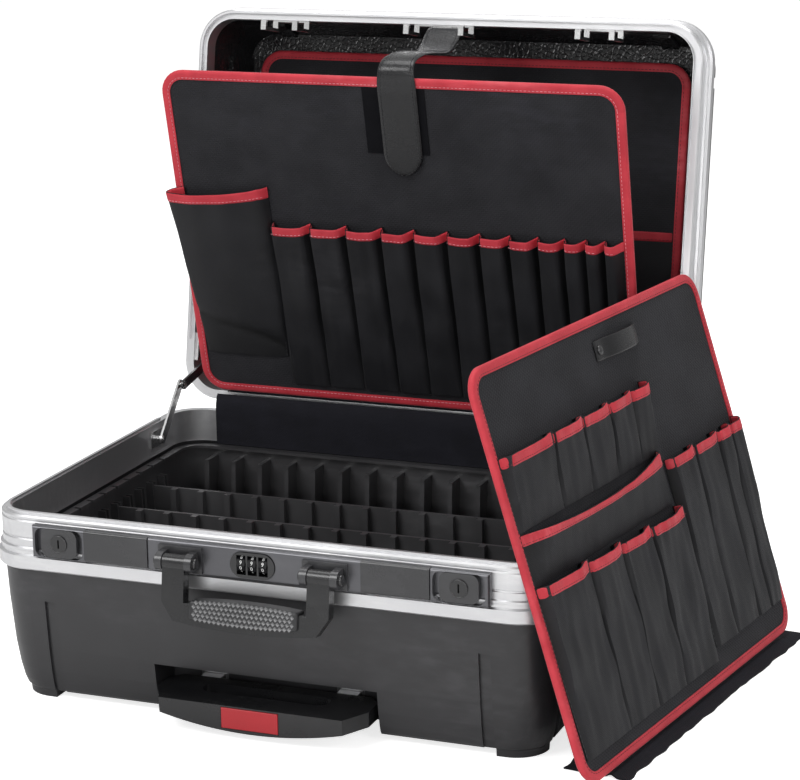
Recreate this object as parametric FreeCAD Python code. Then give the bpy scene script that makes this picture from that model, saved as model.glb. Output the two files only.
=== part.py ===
import FreeCAD, Part
import os
from math import cos, radians, sin, sqrt

V = FreeCAD.Vector
X_AXIS = V(1, 0, 0)
Y_AXIS = V(0, 1, 0)
Z_AXIS = V(0, 0, 1)

# Hard tool case on its broad base, lid open. +X right along the front, +Y back to the hinge, +Z up.
# The origin is the middle of the base's footprint, at floor level.

# Driving sizes of the whole case, in millimetres
case_width = 490.0
case_depth = 370.0
rim_height = 161.0
lid_depth = 92.0
corner_radius = 38.0
lid_lean_degrees = 10.2

# Clearances used between neighbours
seat_gap = 0.3
running_gap = 0.05
slide_gap = 0.4
cut_overrun = 4.0

# Moulded shells
shell_wall = 3.0
shell_side_taper = 5.0
shell_end_taper = 7.5
shell_bow = 7.0
shell_bow_rise = 80.0
ground_clearance = 6.0
shell_corner_loss = 6.0
channel_width = 10.0
channel_depth = 2.4
channel_from_corner_x = 57.0
channel_from_corner_y = 52.0
channel_top_drop = 28.0
foot_inset = 0.5
foot_rise = 8.0

# Aluminium edge frames
frame_height = 45.0
frame_skirt_height = 12.5
frame_skirt_thickness = 4.7
frame_groove_depth = 2.5
frame_groove_height = 3.0
frame_bead_inset = 1.5
frame_bead_height = 3.0
frame_upper_inset = 3.5
frame_inner_inset = 12.0
frame_line_depth = 0.9
frame_line_height = 1.6
frame_edge_round = 1.2
tongue_width = 3.0
tongue_height = 2.4
tongue_inset = 7.5
tongue_side_gap = 1.0
tongue_rear_cut = 60.0
lid_frame_height = 31.0
lid_frame_skirt_height = 11.0

# Hinge between the frames
hinge_offset = 3.0
hinge_pin_radius = 1.8
knuckle_radius = 4.0
hinge_length = 70.0
hinge_spacing = 165.0
hinge_leaf_height = 20.0
hinge_leaf_thickness = 1.6
hinge_knuckles = 5

# Lock bar on the front of the base frame
lock_bar_half_length = 196.0
lock_bar_height = 27.0
lock_bar_drop = 5.0
lock_bar_thickness = 7.5
lock_pocket_depth = 5.5
lever_inner_end = 91.5
lever_outer_end = 148.0
lever_thickness = 6.5
lever_pin_radius = 1.5
lever_pin_height = 4.0
key_plate_length = 32.0
key_plate_start = 155.5
key_plate_thickness = 5.0
key_plate_backing = 1.5
key_plate_corner = 7.0
key_rail = 1.2
key_crescent = 5.5
key_slide_travel = 5.0
key_cylinder_radius = 7.5
key_cylinder_stand_out = 0.8
keyway_width = 1.4
keyway_length = 7.0
keyway_depth = 3.0
key_stem_height = 5.0
key_stem_width = 10.0
bolt_head = 1.8
bolt_head_rise = 4.0
catch_spacing = 150.0
catch_plate_width = 36.0
catch_middle_width = 57.0
catch_plate_height = 22.0
catch_plate_thickness = 1.6
catch_hook_width = 5.0
catch_hook_depth = 8.6
catch_hook_web = 2.8
catch_foot_height = 3.6
catch_tip_gap = 1.8

# Combination lock in the middle of the bar
dial_radius = 7.5
dial_width = 7.0
dial_pitch = 9.4
dial_count = 3
dial_shaft_radius = 1.5
dial_flat_count = 10
dial_room = 0.5
lock_oval_half_length = 19.0
lock_oval_height = 21.0
lock_oval_stand_out = 1.2
lock_case_wall = 1.2
dial_stand_out = 1.6

# Carry handle
handle_eye_spacing = 124.0
handle_eye_radius = 6.5
handle_arm_width = 19.0
handle_arm_thickness = 10.0
handle_drop = 46.0
handle_bar_height = 15.0
handle_bow = 4.5
handle_corner_cut = 10.0
handle_lean_degrees = 8.0
handle_pin_radius = 3.0
handle_axis_height = 142.0
handle_stand_off = 17.0
handle_ear_thickness = 6.0
handle_ear_gap = 0.4
handle_ear_radius = 7.5
handle_plate_thickness = 2.5
handle_plate_margin = 3.0
handle_pin_head_radius = 4.5
handle_pin_head_length = 2.5
grip_thickness = 3.0
grip_height = 15.0
grip_margin = 6.0
grip_rise = 2.0
grip_edge_round = 2.5

# Pull-out trolley handle under the base
recess_half_width = 97.0
recess_height = 38.0
recess_depth = 42.0
tube_spacing = 120.0
tube_outer_width = 24.0
tube_outer_height = 16.0
tube_wall = 1.2
tube_step_gap = 0.4
tube_height_above_floor = 23.0
tube_outer_length = 286.0
tube_middle_length = 280.0
tube_inner_length = 268.0
pull_half_width_front = 79.0
pull_half_width_back = 92.0
pull_front = 203.4
pull_bar_depth = 24.0
pull_height = 12.5
pull_top = 28.5
pull_bow = 9.5
pull_finger_gap = 19.0
pull_finger_half_width = 55.0
pull_cross_depth = 12.0
pull_corner_cut = 10.0
tube_socket_depth = 8.0
button_width = 49.0
button_depth = 10.0
button_travel = 3.0
button_gap = 0.4
button_inset = 1.6
button_stand_out = 0.8
spring_plate_thickness = 0.6
spring_plate_height = 10.0
spring_half_length = 20.0
mount_length = 16.0
mount_margin = 4.0

# Wheels in the rear bottom corners
wheel_radius = 25.0
wheel_width = 22.0
wheel_inset = 51.0
wheel_from_rear = 17.0
wheel_height = 27.0
wheel_gap = 2.5
tyre_thickness = 5.0
axle_radius = 4.0
housing_cheek = 3.2
housing_length = 58.0
housing_height = 50.0
stand_foot_width = 42.0
stand_foot_length = 22.0
stand_foot_rise = 16.0
stand_foot_round = 4.0

# Lid stays, one each side: a parallelogram on the hinge
stay_base_y = 111.2
stay_base_z = 147.8
stay_knee_y = 150.8
stay_knee_z = 189.7
stay_link_width = 9.0
stay_link_thickness = 2.0
stay_rivet_radius = 2.5
stay_bracket_thickness = 1.8
stay_bracket_length = 26.0
stay_bracket_width = 15.0
stay_side_gap = 2.0
stay_from_frame = 6.0
stay_rivet_end = 0.6
stay_knee_gap = 1.0

# Moulded tray and its cross dividers
tray_wall = 2.5
tray_edge_round = 2.0
tray_side_gap = 1.0
tray_top_drop = 32.0
tray_lip_width = 8.0
tray_lip_thickness = 2.5
rack_pitch = 26.7
rack_fin_thickness = 4.0
rack_fin_depth = 19.5
rack_top_drop = 9.5
divider_thickness = 3.0
divider_top_drop = 50.0
divider_rib_pitch = 26.7
divider_rib_width = 5.5
divider_rib_depth = 6.0
divider_rear_y = 84.3
divider_front_y = 14.6
slot_pitch = 23.2
slot_rib_depth = 7.0
slot_rib_drop = 47.0
slot_wall = 2.0
slot_count_front = 8
slot_count_rear = 1
rack_fin_count = 16
divider_rib_count = 16

# Pocket boards
board_width = 425.0
board_height = 315.0
board_thickness = 3.0
board_corner = 22.0
binding_width = 8.0
binding_thickness = 1.2
cloth = 1.4
pocket_band = 9.0
front_board_lean_degrees = 13.3
front_board_y = 177.4
front_board_z = 181.3
board_hinge_drop = 1.8
hinge_bead_radius = 1.1
back_board_depth = 76.0
back_board_width = 424.0
back_board_height = 314.3
mouth_band_thickness = 0.8
large_pocket_right = -122.0
large_pocket_bottom = 41.0
large_pocket_top = 206.0
large_pocket_stand_out = 15.0
row_left = -120.0
row_bottom = 15.0
row_top = 176.0
row_stand_out = 12.0
back_pocket_bottom = 40.0
back_pocket_top = 162.0

# Loose board, leaning on the right side of the case
loose_board_width = 414.0
loose_board_height = 326.0
loose_board_out = 38.0
loose_board_forward = 36.9
loose_board_z = 6.4
loose_board_turn_degrees = 81.5
loose_board_lean_degrees = 18.0
upper_tier_top = 257.0
upper_tier_bottom = 203.0
middle_tier_top = 197.0
middle_tier_bottom = 160.0
lower_tier_top = 154.0
lower_tier_bottom = 19.0
side_tier_top = 192.0
side_tier_bottom = 30.0
tier_stand_out = 13.0
tier_split = 260.0
loop_length = 79.0
loop_height = 17.0
loop_stand_off = 6.0
loop_thickness = 1.6
loop_from_top = 20.0
loop_rivet_radius = 4.0

# Straps and cloth flaps
strap_width = 34.0
strap_thickness = 2.4
strap_tail = 98.0
strap_rise = 18.0
strap_seat = 26.0
strap_x = 5.0
flap_thickness = 2.0
rear_flap_width = 400.0
loose_flap_start = 44.0
loose_flap_out = 14.0
loose_flap_back = 40.0
flap_hem_height = 5.2
flap_hem_width = 8.0

# Shapes given as shares of the sizes that they follow
edge_round_shares = ((0, 1), (0.3, 0.3))
bow_shares = (0.03, 0.1, 0.25, 0.5, 1)
radius_follow_share = 0.6
base_frame_line_shares = (0.12, 0.46)
lid_frame_line_shares = (0.2,)
wheel_dish_share = 0.25
row_seam_shares = (0, 0.113, 0.219, 0.324, 0.417, 0.511, 0.605, 0.689, 0.767, 0.841, 0.899, 0.951, 1)
upper_tier_seam_shares = (0, 0.302, 0.507, 0.7, 0.872, 1)
lower_tier_seam_shares = (0, 0.288, 0.516, 0.732, 1)
side_tier_seam_shares = (0, 0.29, 0.635, 0.815, 1)
spring_path_shares = ((-1, 0), (-0.8, 0), (-0.4, 1), (0.4, 1), (0.8, 0), (1, 0))
strap_path_shares = ((0.66, -0.33), (0.2, 0.7), (0.04, 0.8))
loop_path_shares = ((0, 0), (0.2, 0), (0.3, 1), (0.8, 1), (0.9, 0), (1, 0))
tyre_crown_share = 0.33

# Places worked out from the sizes above
half_width = case_width / 2
half_depth = case_depth / 2
front_face = -(half_depth - frame_upper_inset)
frame_bottom = rim_height - frame_height
shell_half_width = half_width - frame_skirt_thickness - seat_gap
shell_half_depth = half_depth - frame_skirt_thickness - seat_gap
shell_top = frame_bottom + frame_skirt_height + frame_groove_height
inner_half_width = half_width - frame_inner_inset
inner_half_depth = half_depth - frame_inner_inset
hinge_y = half_depth + hinge_offset
hinge_z = rim_height + seat_gap
tray_top = rim_height - tray_top_drop

parts = {}


def save(node, *shapes):
    """Keeps the solids of one node."""
    parts[node] = Part.makeCompound(list(shapes)) if len(shapes) > 1 else shapes[0]


def block(x0, x1, y0, y1, z0, z1):
    return Part.makeBox(x1 - x0, y1 - y0, z1 - z0, V(x0, y0, z0))


def rod(radius, start, direction, length):
    return Part.makeCylinder(radius, length, start, direction)


def fused(*shapes):
    """Joins touching shapes into one solid."""
    whole = shapes[0].multiFuse(list(shapes[1:])) if len(shapes) > 1 else shapes[0]
    return whole.removeSplitter()


def rounded_outline(half_x, half_y, radius, z, centre_y=0):
    """A rectangle with round corners, as a closed wire at height z."""
    straight_x = half_x - radius
    straight_y = half_y - radius
    corners = [(straight_x, straight_y, 0), (-straight_x, straight_y, 1),
               (-straight_x, -straight_y, 2), (straight_x, -straight_y, 3)]
    quarter = radians(90)
    edges = []
    ends = []
    for x, y, turn in corners:
        points = []
        for share in (0, 0.5, 1):
            angle = (turn + share) * quarter
            points.append(V(x + radius * cos(angle), centre_y + y + radius * sin(angle), z))
        ends.append(points)
    for number, points in enumerate(ends):
        edges.append(Part.Arc(*points).toShape())
        edges.append(Part.LineSegment(points[-1], ends[(number + 1) % 4][0]).toShape())
    return Part.Wire(edges)


def rounded_stack(sections, centre_y=0):
    """A solid through rounded outlines given as (height, half width, half depth, radius)."""
    wires = [rounded_outline(half_x, half_y, radius, z, centre_y) for z, half_x, half_y, radius in sections]
    return Part.makeLoft(wires, True, True)


def rounded_plate(width, height, radius, y0, y1):
    """An upright board between two y planes, its lower edge on z = 0, its middle on x = 0."""
    outline = rounded_outline(width / 2, height / 2, radius, 0)
    plate = Part.Face(outline).extrude(V(0, 0, y1 - y0))
    plate.rotate(V(0, 0, 0), X_AXIS, 90)
    plate.translate(V(0, y1, height / 2))
    return plate


def polygon_bar(points, normal_length):
    """A closed flat outline pushed along a vector."""
    face = Part.Face(Part.makePolygon(list(points) + [points[0]]))
    return face.extrude(normal_length)


def mirrored_x(shape):
    return shape.mirror(V(0, 0, 0), X_AXIS)


def both_sides(shape):
    return [shape, mirrored_x(shape)]


def on_lid(shape):
    """Moves a shape drawn in the lid's own frame: x, depth behind the rim as y, way up the lid as z."""
    moved = shape.copy()
    moved.rotate(V(0, 0, 0), X_AXIS, -lid_lean_degrees)
    moved.translate(V(0, hinge_y, hinge_z))
    return moved


def as_lid(shape):
    """Turns a tray drawn bottom down, with its rim at z = 0, into the lid's own frame."""
    turned = shape.copy()
    turned.rotate(V(0, 0, 0), X_AXIS, 90)
    turned.translate(V(0, 0, hinge_y))
    return turned


def wall_pull(bottom, straight_from, height):
    """How far a shell's side walls, end walls and corners have drawn in at a height: they taper and bow."""
    share = max(straight_from - height, 0) / (straight_from - bottom)
    bow_rise = min(shell_bow_rise, straight_from - bottom)
    below = min(max(1 - (height - bottom) / bow_rise, 0), 1)
    bow = shell_bow * (1 - sqrt(1 - below * below))
    return shell_side_taper * share + bow, shell_end_taper * share + bow, shell_corner_loss * share


def wall_sections(bottom, top, straight_from, inset, start, edge=0):
    """Outlines of a moulded shell that narrows towards its bottom, pulled in by inset, from start up."""
    radius_top = corner_radius - frame_skirt_thickness
    rows = [(start + edge * rise, edge * pull) for rise, pull in edge_round_shares if edge]
    rows.append((start + edge, 0))
    bow_rise = min(shell_bow_rise, straight_from - bottom)
    bows = [bottom + bow_rise * share for share in bow_shares]
    rows += [(height, 0) for height in bows if height > start + edge]
    if straight_from > rows[-1][0]:
        rows.append((straight_from, 0))
    rows.append((top, 0))
    sections = []
    for height, pull in rows:
        side, end, corner = wall_pull(bottom, straight_from, height)
        sections.append((height, shell_half_width - side - pull - inset, shell_half_depth - end - pull - inset,
                         radius_top - corner - inset * radius_follow_share))
    return sections


def channel_slabs(bottom, top, half_widening):
    """Upright slabs where the shell walls carry their channels, two on every wall."""
    slabs = []
    across = channel_width / 2 + half_widening
    for side in (-1, 1):
        x = side * (half_width - channel_from_corner_x)
        slabs.append(block(x - across, x + across, -case_depth, case_depth, bottom, top + half_widening))
        y = side * (half_depth - channel_from_corner_y)
        slabs.append(block(-case_width, case_width, y - across, y + across, bottom, top + half_widening))
    return slabs


def wall_band(outer, depth_stack, slabs):
    """The part of the slabs that lies between an outline and the same outline pulled in."""
    return [slab.common(outer).cut(depth_stack) for slab in slabs]


def moulded_shell(bottom, top, straight_from):
    """A tapered tray with channels pressed into its walls, ribs standing inside behind them."""
    outer = rounded_stack(wall_sections(bottom, top, straight_from, 0, bottom))
    channel_top = straight_from - channel_top_drop
    sunk = rounded_stack(wall_sections(bottom, top, straight_from, channel_depth, bottom - cut_overrun))
    low = bottom - cut_overrun * 2
    channels = wall_band(outer, sunk, channel_slabs(low, channel_top, 0))
    cavity = rounded_stack(wall_sections(bottom, top + cut_overrun, straight_from, shell_wall,
                                         bottom + shell_wall))
    behind = rounded_stack(wall_sections(bottom, top + cut_overrun, straight_from,
                                         shell_wall + channel_depth, bottom + shell_wall - cut_overrun))
    ribs = wall_band(cavity, behind, channel_slabs(low, channel_top, shell_wall))
    hollow = cavity
    for rib in ribs:
        hollow = hollow.cut(rib)
    shell = outer.cut(hollow)
    for channel in channels:
        shell = shell.cut(channel)
    return shell, outer


def frame_ring(profile, inner_start, inner_end, skirt_end):
    """A frame from outer offsets at rising heights, hollow for the case and for the shell's edge."""
    sections = []
    for z, inset in profile:
        sections.append((z, half_width - inset, half_depth - inset, corner_radius - inset))
    ring = rounded_stack(sections)
    radius = corner_radius - frame_inner_inset
    bore = rounded_stack([(inner_start - cut_overrun, inner_half_width, inner_half_depth, radius),
                          (inner_end + cut_overrun, inner_half_width, inner_half_depth, radius)])
    skirt_inset = frame_skirt_thickness
    skirt = rounded_stack([(profile[0][0] - cut_overrun, half_width - skirt_inset, half_depth - skirt_inset,
                            corner_radius - skirt_inset),
                           (skirt_end, half_width - skirt_inset, half_depth - skirt_inset,
                            corner_radius - skirt_inset)])
    return ring.cut(bore).cut(skirt)


def frame_profile(bottom, skirt_height, top, line_heights):
    """Heights and outer insets of the drawn aluminium section, from its skirt to its rim."""
    step = frame_edge_round
    groove = bottom + skirt_height
    bead = groove + frame_groove_height
    upper = bead + frame_bead_height
    rows = [(bottom, step), (bottom + step, 0), (groove - step, 0), (groove, frame_groove_depth),
            (bead, frame_groove_depth), (bead + step / 2, frame_bead_inset),
            (upper - step / 2, frame_bead_inset), (upper, frame_upper_inset)]
    sunk = frame_upper_inset + frame_line_depth
    for z in line_heights:
        rows += [(z, frame_upper_inset), (z + frame_line_depth, sunk),
                 (z + frame_line_height, sunk), (z + frame_line_height + frame_line_depth, frame_upper_inset)]
    rows += [(top - step, frame_upper_inset), (top, frame_upper_inset + step)]
    return rows


def rim_ring(inset, width, z0, z1):
    """A thin ring that follows the rim."""
    outer = rounded_stack([(z0, half_width - inset, half_depth - inset, corner_radius - inset),
                           (z1, half_width - inset, half_depth - inset, corner_radius - inset)])
    inset += width
    inner = rounded_stack([(z0 - cut_overrun, half_width - inset, half_depth - inset, corner_radius - inset),
                           (z1 + cut_overrun, half_width - inset, half_depth - inset, corner_radius - inset)])
    return outer.cut(inner)


# Base shell with its feet, wheel corners and the hollow for the pull-out handle
shell_bottom = ground_clearance
base_shell, base_outer = moulded_shell(shell_bottom, shell_top, frame_bottom)

foot_rows = [row for row in wall_sections(shell_bottom, shell_top, frame_bottom, 0, shell_bottom)
             if row[0] < shell_bottom + foot_rise]
foot_top = foot_rows[-1][0]
foot_outer = rounded_stack([(0, foot_rows[0][1] - foot_inset, foot_rows[0][2] - foot_inset, foot_rows[0][3])]
                           + foot_rows)
foot_hollow = rounded_stack(wall_sections(shell_bottom, shell_top, frame_bottom, shell_wall,
                                          shell_bottom + shell_wall))
foot_start_x = half_width - channel_from_corner_x + channel_width / 2
foot_start_y = half_depth - channel_from_corner_y + channel_width / 2
front_foot_block = block(foot_start_x, case_width, -case_depth, -foot_start_y, 0, foot_top)
base_shell = base_shell.multiFuse(both_sides(foot_outer.common(front_foot_block).cut(foot_hollow)))

# The hollow under the front edge, walled off from the inside of the case
recess_y0 = -(half_depth + cut_overrun)
recess_y1 = -(shell_half_depth - recess_depth)
recess_top = shell_bottom + recess_height
recess_void = block(-recess_half_width, recess_half_width, recess_y0, recess_y1, -cut_overrun, recess_top)
recess_walls = block(-(recess_half_width + shell_wall), recess_half_width + shell_wall, recess_y0,
                     recess_y1 + shell_wall, shell_bottom, recess_top + shell_wall).common(base_outer)
base_shell = base_shell.fuse(recess_walls).cut(recess_void)

tube_hole_width = tube_outer_width + 2 * seat_gap
tube_hole_height = tube_outer_height + 2 * seat_gap
for side in (-1, 1):
    x = side * tube_spacing / 2
    base_shell = base_shell.cut(block(x - tube_hole_width / 2, x + tube_hole_width / 2,
                                      recess_y1 - cut_overrun, recess_y1 + shell_wall + cut_overrun,
                                      tube_height_above_floor - tube_hole_height / 2,
                                      tube_height_above_floor + tube_hole_height / 2))

# Wheel corners
wheel_x = half_width - wheel_inset
wheel_y = half_depth - wheel_from_rear
cavity_radius = wheel_radius + wheel_gap
cavity_x0 = wheel_x - wheel_width / 2 - wheel_gap / 2
cavity_x1 = wheel_x + wheel_width / 2 + wheel_gap / 2
housing_x0 = cavity_x0 - housing_cheek
housing_y0 = half_depth - housing_length
housing_top = shell_bottom + housing_height
corner_cut = block(housing_x0, case_width, housing_y0, case_depth, -cut_overrun, housing_top)
for piece in both_sides(corner_cut):
    base_shell = base_shell.cut(piece)
inner_wall = block(housing_x0 - shell_wall - seat_gap, case_width, housing_y0 - shell_wall - seat_gap,
                   case_depth, shell_bottom, housing_top + shell_wall + seat_gap).common(base_outer)
inner_wall = inner_wall.cut(block(housing_x0 - seat_gap, case_width, housing_y0 - seat_gap, case_depth,
                                  -cut_overrun, housing_top + seat_gap))
base_shell = base_shell.multiFuse(both_sides(inner_wall))
base_shell = base_shell.removeSplitter()
save("base_shell", base_shell)

housing_body = rounded_stack(wall_sections(shell_bottom, shell_top, frame_bottom, 0, shell_bottom))
housing_body = housing_body.common(block(housing_x0, case_width, housing_y0, case_depth, 0, housing_top))
rear_foot = foot_outer.common(block(housing_x0, case_width, housing_y0, wheel_y - cavity_radius, 0, foot_top))
housing_body = housing_body.fuse(rear_foot)
wheel_void = rod(cavity_radius, V(cavity_x0, wheel_y, wheel_height), X_AXIS, cavity_x1 - cavity_x0)
wheel_void = wheel_void.fuse(block(cavity_x0, cavity_x1, wheel_y, case_depth,
                                   wheel_height - cavity_radius, wheel_height + cavity_radius))
wheel_void = wheel_void.fuse(block(cavity_x0, cavity_x1, wheel_y - cavity_radius, case_depth, -cut_overrun,
                                   wheel_height))
axle_end = cavity_x1 + housing_cheek
axle_hole = rod(axle_radius, V(housing_x0 - cut_overrun, wheel_y, wheel_height), X_AXIS,
                axle_end - housing_x0 + cut_overrun)
wheel_housing = housing_body.cut(wheel_void).cut(axle_hole).removeSplitter()
save("wheel_housings", *both_sides(wheel_housing))

axle = rod(axle_radius, V(housing_x0, wheel_y, wheel_height), X_AXIS, axle_end - housing_x0)
save("wheel_axles", *both_sides(axle))
hub_radius = wheel_radius - tyre_thickness
wheel_start = V(wheel_x - wheel_width / 2, wheel_y, wheel_height)
hub = rod(hub_radius, wheel_start, X_AXIS, wheel_width)
dish_depth = wheel_width * wheel_dish_share
dish_radius = hub_radius - tyre_thickness / 2
hub_boss_radius = axle_radius + housing_cheek
for start in (wheel_start, wheel_start + V(wheel_width - dish_depth, 0, 0)):
    dish = rod(dish_radius, start, X_AXIS, dish_depth).cut(rod(hub_boss_radius, start, X_AXIS, dish_depth))
    hub = hub.cut(dish)
hub = hub.cut(rod(axle_radius + running_gap, wheel_start, X_AXIS, wheel_width))
tyre_crown = tyre_thickness * tyre_crown_share
tyre = rod(wheel_radius, wheel_start, X_AXIS, wheel_width)
tyre = tyre.cut(rod(hub_radius, wheel_start, X_AXIS, wheel_width))
rim_edges = [edge for edge in tyre.Edges
             if edge.Curve.TypeId == "Part::GeomCircle" and edge.Curve.Radius > hub_radius + tyre_crown]
tyre = tyre.makeFillet(tyre_crown, rim_edges)
save("wheel_hub_right", hub)
save("wheel_hub_left", mirrored_x(hub))
save("wheel_tyre_right", tyre)
save("wheel_tyre_left", mirrored_x(tyre))

# Frame on the base, with its tongue and the slots for the sliding bolts
frame_lines = sorted(rim_height - frame_height * share for share in base_frame_line_shares)
base_frame = frame_ring(frame_profile(frame_bottom, frame_skirt_height, rim_height, frame_lines),
                        frame_bottom, rim_height, shell_top)
tongue = rim_ring(tongue_inset, tongue_width, rim_height - seat_gap, rim_height + tongue_height)
tongue = tongue.cut(block(-case_width, case_width, half_depth - tongue_rear_cut, case_depth,
                          0, rim_height + case_depth))
base_frame = base_frame.fuse(tongue)
bar_top = rim_height - lock_bar_drop
bar_bottom = bar_top - lock_bar_height
bar_middle = (bar_top + bar_bottom) / 2
bar_front = front_face - lock_bar_thickness
catch_hook_outer = catch_spacing + catch_plate_width / 2
key_stem_x0 = catch_hook_outer + slide_gap
key_slot_x0 = key_stem_x0 - key_slide_travel - slide_gap
key_slot_x1 = key_stem_x0 + key_stem_width + slide_gap
key_slot = block(key_slot_x0, key_slot_x1, -half_depth, -inner_half_depth + cut_overrun,
                 bar_middle - key_stem_height / 2 - slide_gap, bar_middle + key_stem_height / 2 + slide_gap)
for piece in both_sides(key_slot):
    base_frame = base_frame.cut(piece)

lock_front = bar_front - lock_oval_stand_out
dial_y = lock_front - dial_stand_out + dial_radius
dial_row_half = (dial_count - 1) * dial_pitch / 2 + dial_width / 2
lock_box_half_length = dial_row_half + slide_gap + lock_case_wall
lock_box_half_height = dial_radius + dial_room + lock_case_wall
lock_box_back = dial_y + dial_radius + dial_room + lock_case_wall
base_frame = base_frame.cut(block(-lock_box_half_length - seat_gap, lock_box_half_length + seat_gap,
                                  -half_depth, lock_box_back + seat_gap,
                                  bar_middle - lock_box_half_height - seat_gap,
                                  bar_middle + lock_box_half_height + seat_gap))
save("base_frame", base_frame)

# Lid shell and frame, drawn bottom down with the rim at z = 0 and then stood up on the hinge
lid_top = -lid_depth
lid_frame_top = -lid_frame_height
lid_shell_edge = lid_frame_top + lid_frame_skirt_height + frame_groove_height
lid_shell_flat, lid_outer_flat = moulded_shell(lid_top, lid_shell_edge, lid_frame_top)
save("lid_shell", on_lid(as_lid(lid_shell_flat)))
lid_frame_flat = frame_ring(frame_profile(lid_frame_top, lid_frame_skirt_height, 0,
                                          [-lid_frame_height * share for share in lid_frame_line_shares]),
                            lid_frame_top, 0, lid_shell_edge)
tongue_channel = rim_ring(tongue_inset - tongue_side_gap, tongue_width + 2 * tongue_side_gap,
                          -(tongue_height + tongue_side_gap), cut_overrun)
channel_end = half_depth - tongue_rear_cut + 2 * tongue_side_gap
tongue_channel = tongue_channel.cut(block(-case_width, case_width, -case_depth, -channel_end,
                                          -lid_depth, lid_depth))
save("lid_frame", on_lid(as_lid(lid_frame_flat.cut(tongue_channel))))


def opened(shape):
    """Swings a lid piece, drawn where it lies when the case is shut, up to the open pose."""
    swung = shape.copy()
    swung.rotate(V(0, hinge_y, hinge_z), X_AXIS, -(90 + lid_lean_degrees))
    return swung


def plate_at(x_middle, z_low, width, height, radius, y0, y1):
    """An upright plate with round corners, placed by the middle of its lower edge."""
    plate = rounded_plate(width, height, radius, y0, y1)
    plate.translate(V(x_middle, 0, z_low))
    return plate


def bar_between(start, end, width, x0, x1):
    """A flat link with round ends between two pivots given as (y, z)."""
    y0, z0 = start
    y1, z1 = end
    along = V(0, y1 - y0, z1 - z0)
    across = along.cross(X_AXIS).normalize() * (width / 2)
    first = V(x0, y0, z0)
    last = V(x0, y1, z1)
    middle = polygon_bar([first + across, last + across, last - across, first - across], V(x1 - x0, 0, 0))
    ends = [rod(width / 2, first, X_AXIS, x1 - x0), rod(width / 2, last, X_AXIS, x1 - x0)]
    return fused(middle, *ends)


def ribbon(points, thickness, x0, x1):
    """A strip of even thickness along a path of (y, z) points, x0 to x1 wide."""
    normals = []
    for (y0, z0), (y1, z1) in zip(points, points[1:]):
        normals.append(V(0, z0 - z1, y1 - y0).normalize())
    left = []
    right = []
    for number, (y, z) in enumerate(points):
        before = normals[max(number - 1, 0)]
        after = normals[min(number, len(normals) - 1)]
        mitre = (before + after).normalize()
        offset = mitre * (thickness / 2 / mitre.dot(before))
        left.append(V(x0, y, z) + offset)
        right.append(V(x0, y, z) - offset)
    return polygon_bar(left + right[::-1], V(x1 - x0, 0, 0))


# Hinges between the frames: leaves with alternate knuckles on three pins
leaf_face = half_depth - frame_upper_inset
lid_leaf_height = lid_frame_height - lid_frame_skirt_height - frame_groove_height - frame_bead_height - seat_gap
arm_gap = knuckle_radius / 4
knuckle_length = hinge_length / hinge_knuckles
base_leaves = []
lid_leaves = []
pins = []
for middle in (-hinge_spacing, 0, hinge_spacing):
    start = middle - hinge_length / 2
    axis_start = V(start, hinge_y, hinge_z)
    base_leaf = [block(start, start + hinge_length, leaf_face, leaf_face + hinge_leaf_thickness,
                       rim_height - hinge_leaf_height, rim_height)]
    lid_leaf = [block(start, start + hinge_length, leaf_face, leaf_face + hinge_leaf_thickness,
                      hinge_z + seat_gap, hinge_z + lid_leaf_height)]
    for number in range(hinge_knuckles):
        x0 = start + number * knuckle_length + slide_gap / 2
        x1 = x0 + knuckle_length - slide_gap
        barrel = rod(knuckle_radius, V(x0, hinge_y, hinge_z), X_AXIS, x1 - x0)
        if number % 2 == 0:
            arm = block(x0, x1, leaf_face, hinge_y, hinge_z - knuckle_radius, hinge_z - arm_gap)
            base_leaf += [barrel, arm]
        else:
            arm = block(x0, x1, leaf_face, hinge_y, hinge_z + arm_gap, hinge_z + knuckle_radius)
            lid_leaf += [barrel, arm]
    base_bore = rod(hinge_pin_radius, axis_start, X_AXIS, hinge_length)
    lid_bore = rod(hinge_pin_radius + running_gap, axis_start, X_AXIS, hinge_length)
    base_leaves.append(fused(*base_leaf).cut(base_bore))
    lid_leaves.append(opened(fused(*lid_leaf).cut(lid_bore)))
    pins.append(rod(hinge_pin_radius, axis_start + V(slide_gap / 2, 0, 0), X_AXIS, hinge_length - slide_gap))
save("hinge_leaf_base", *base_leaves)
save("hinge_leaf_lid", *lid_leaves)

# Lock bar, its pockets for levers and key plates, and the hole for the number lock
pocket_floor = bar_front + lock_pocket_depth
lock_bar = block(-lock_bar_half_length, lock_bar_half_length, bar_front, front_face, bar_bottom, bar_top)
lock_bar = lock_bar.makeFillet(lock_bar_thickness / 3, [edge for edge in lock_bar.Edges
                                                       if abs(edge.CenterOfMass.y - bar_front) < seat_gap])
lever_pocket = block(lever_inner_end - slide_gap, lever_outer_end + slide_gap, -case_depth, pocket_floor,
                     bar_bottom - cut_overrun, bar_top + cut_overrun)
key_pocket_x0 = key_plate_start - key_slide_travel - slide_gap
key_pocket_x1 = key_plate_start + key_plate_length + key_crescent
key_pocket_height = lock_bar_height - 2 * key_rail
key_pocket = plate_at((key_pocket_x0 + key_pocket_x1) / 2, bar_bottom + key_rail, key_pocket_x1 - key_pocket_x0,
                      key_pocket_height, key_plate_corner, -case_depth, pocket_floor)
lever_pin_y = pocket_floor - seat_gap - lever_thickness / 2
lever_pin_z = bar_bottom + lever_pin_height
pin_seat = key_rail
lever_pin = rod(lever_pin_radius, V(lever_inner_end - slide_gap - pin_seat, lever_pin_y, lever_pin_z), X_AXIS,
                lever_outer_end - lever_inner_end + 2 * (slide_gap + pin_seat))
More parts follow.
